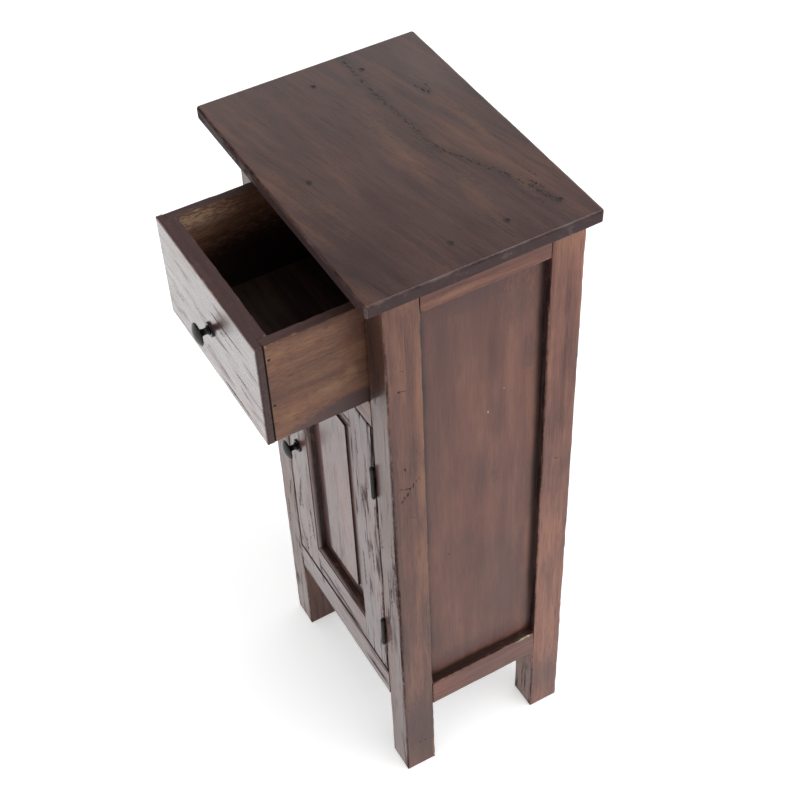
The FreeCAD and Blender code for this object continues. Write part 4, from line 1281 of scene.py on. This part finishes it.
# %% Put a tree's result on points
def grown(node, name, tree, values, parts, smooth_degrees):
    """Puts a tree's result on the measured points, as a plain mesh that stands in for a node."""
    mesh = bpy.data.meshes.new(name + "_points")
    mesh.from_pydata([place for place, *others in parts], [], [])
    drives = mesh.attributes.new("drive", "FLOAT_VECTOR", "POINT")
    drives.data.foreach_set("vector", [number for part in parts for number in part[1]])
    reaches = mesh.attributes.new("reach", "FLOAT", "POINT")
    reaches.data.foreach_set("value", [part[2] for part in parts])
    holder = placed(name + "_points", mesh)
    modifier = holder.modifiers.new(name, "NODES")
    modifier.node_group = tree
    for item in tree.interface.items_tree:
        if item.in_out == "INPUT" and item.name in values:
            modifier[item.identifier] = values[item.name]
    bpy.context.view_layer.update()
    result = bpy.data.meshes.new_from_object(holder.evaluated_get(bpy.context.evaluated_depsgraph_get()))
    holder.modifiers.clear()
    bpy.data.objects.remove(holder)
    shape = bmesh.new()
    shape.from_mesh(result)
    piece = finished_piece(name, shape, node, smooth_degrees)
    piece.data.materials.append(values["Finish"])
    bpy.data.meshes.remove(result)
    print(name, len(parts), "pieces,", len(piece.data.polygons), "faces")


# %% Drive the fasteners
shank_share = 0.52
head_height_share = 0.40
first_seed = 11
fastener_crisp_degrees = 40
fasteners = {
    "hinge_case_screws": ("slotted_hinge_screws_in_the_post", hinge_iron),
    "hinge_door_screws": ("slotted_hinge_screws_in_the_door", hinge_iron),
    "catch_screws": ("slotted_catch_screws", dull_steel),
    "strike_screws": ("slotted_strike_screws", dull_steel),
    "cleat_screws": ("slotted_cleat_screws", dull_steel),
    "runner_and_kicker_screws": ("slotted_runner_screws", dull_steel),
    "door_knob_screw": ("slotted_door_knob_screw", dull_steel),
    "drawer_knob_screw": ("slotted_drawer_knob_screw", dull_steel),
    "top_nails": ("nails_in_the_top", nail_iron),
    "drawer_nails": ("nails_in_the_drawer", nail_iron),
}
for number, (node, (name, finish)) in enumerate(fasteners.items()):
    parts = [driven(part) for part in loose_parts(node)]
    radius = parts[0][3]
    values = {"Head Radius": radius, "Head Height": radius * head_height_share}
    values |= {"Shank Radius": radius * shank_share, "Slotted": name.startswith("slotted")}
    values |= {"Seed": first_seed + number, "Finish": finish}
    grown(node, name, fastener_tree, values, parts, fastener_crisp_degrees)

# %% [markdown]
# Six nails hold the top, each sunk below the surface and hidden under a spot of filler. The filler
# shrank as it dried, so its rim is ragged and its face is a little hollow.

# %% A finish for the filler
filler_grain_steps, filler_lump_steps = 900.0, 260.0
filler_dark, filler_pale = colours(10, 7, 6, 34, 22, 18)
filler_rise, filler_roughness, filler_uneven = (0.4, 0.7), 0.55, 0.4

filler, bench = new_finish("dark_filler")
place = bench.where()
grains = bench.noise(place, filler_grain_steps, filler_grain_steps, 3.0, 0.6)
lumps = bench.noise(place, filler_lump_steps, filler_lump_steps, 2.0, 0.5)
pale = (grains + lumps.swing()).rise(*filler_rise)
bench.cover(bench.shader({
    "Base Color": bench.mix(pale, filler_dark, filler_pale),
    "Roughness": filler_roughness + grains.swing(filler_uneven),
    "Specular IOR Level": 0.3,
    "Normal": bench.bump(grains + lumps, strength=0.6, distance=0.0005),
}))
print("the filler is", filler.name)

# %% Fill the nail holes
filler_hollow = 0.0003
filler_seed, filler_seed_shift = 5, 0.37
hollow_steps = 900.0
filler_crisp_degrees = 30

plug_tree, bench, given = new_tree("filler_plugs", Radius="Float", Depth="Float", Hollow="Float")
sockets = {"Vertices": 24, "Side Segments": 2, "Fill Segments": 3}
sockets |= {"Radius": given["Radius"], "Depth": given["Depth"]}
plug = bench.add("GeometryNodeMeshCylinder", {"fill_type": "TRIANGLE_FAN"}, sockets)
lowered = bench.triple(0.0, 0.0, given["Depth"] * -0.5)
plug = bench.add("GeometryNodeTransform", sockets={"Geometry": plug, "Translation": lowered})
plugs = put_on_points(bench, given["Geometry"], plug)
plain = bench.add("GeometryNodeRealizeInstances", sockets={0: plugs})
shift = given["Seed"] * filler_seed_shift
there = bench.vector("ADD", bench.add("GeometryNodeInputPosition"), bench.triple(shift))
lump = bench.add("TexNoise", sockets={"Vector": there, "Scale": hollow_steps, "Detail": 1.0})
sink = bench.triple(0.0, 0.0, lump * given["Hollow"] * -1.0)
sunk = bench.add("GeometryNodeSetPosition", sockets={"Geometry": plain, "Offset": sink})
end_tree(bench, sunk, given["Finish"])

plugs = [driven(part, axis=2) for part in loose_parts("top_plugs")]
values = {"Radius": plugs[0][3], "Depth": plugs[0][2], "Hollow": filler_hollow}
values |= {"Seed": filler_seed, "Finish": filler}
grown("top_plugs", "filler_over_the_nails", plug_tree, values, plugs, filler_crisp_degrees)

# %% [markdown]
# ## The catch
#
# A magnetic catch of brown plastic sits under the cupboard's top rail. It is a moulding, so its
# edges are rounded and its skin is faintly pebbled.

# %% Mould the catch
pebble_steps, haze_steps = 1600.0, 90.0
plastic_dark, plastic_pale = colours(55, 26, 14, 85, 42, 24)
plastic_roughness, plastic_uneven = 0.42, 0.2
catch_rounding = 0.0003
sharper_than = math.radians(60)

moulded, bench = new_finish("brown_plastic")
place = bench.where()
sockets = {"Vector": place, "Scale": pebble_steps}
pebbles = bench.add("TexVoronoi", {"feature": "SMOOTH_F1"}, sockets, "Distance")
haze = bench.noise(place, haze_steps, haze_steps, 3.0, 0.5)
bench.cover(bench.shader({
    "Base Color": bench.mix(haze, plastic_dark, plastic_pale),
    "Roughness": plastic_roughness + haze.swing(plastic_uneven),
    "Normal": bench.bump(pebbles, strength=0.25, distance=0.0003),
}))

catch = joined_copy("door_catch")
sharp = [edge for edge in catch.edges if edge.calc_face_angle(0.0) > sharper_than]
bmesh.ops.bevel(catch, geom=sharp, offset=catch_rounding, segments=2, affect="EDGES", clamp_overlap=True)
piece = finished_piece("moulded_door_catch", catch, "door_catch", hinge_crisp_degrees)
piece.data.materials.append(moulded)
print("the catch has", len(piece.data.polygons), "faces")
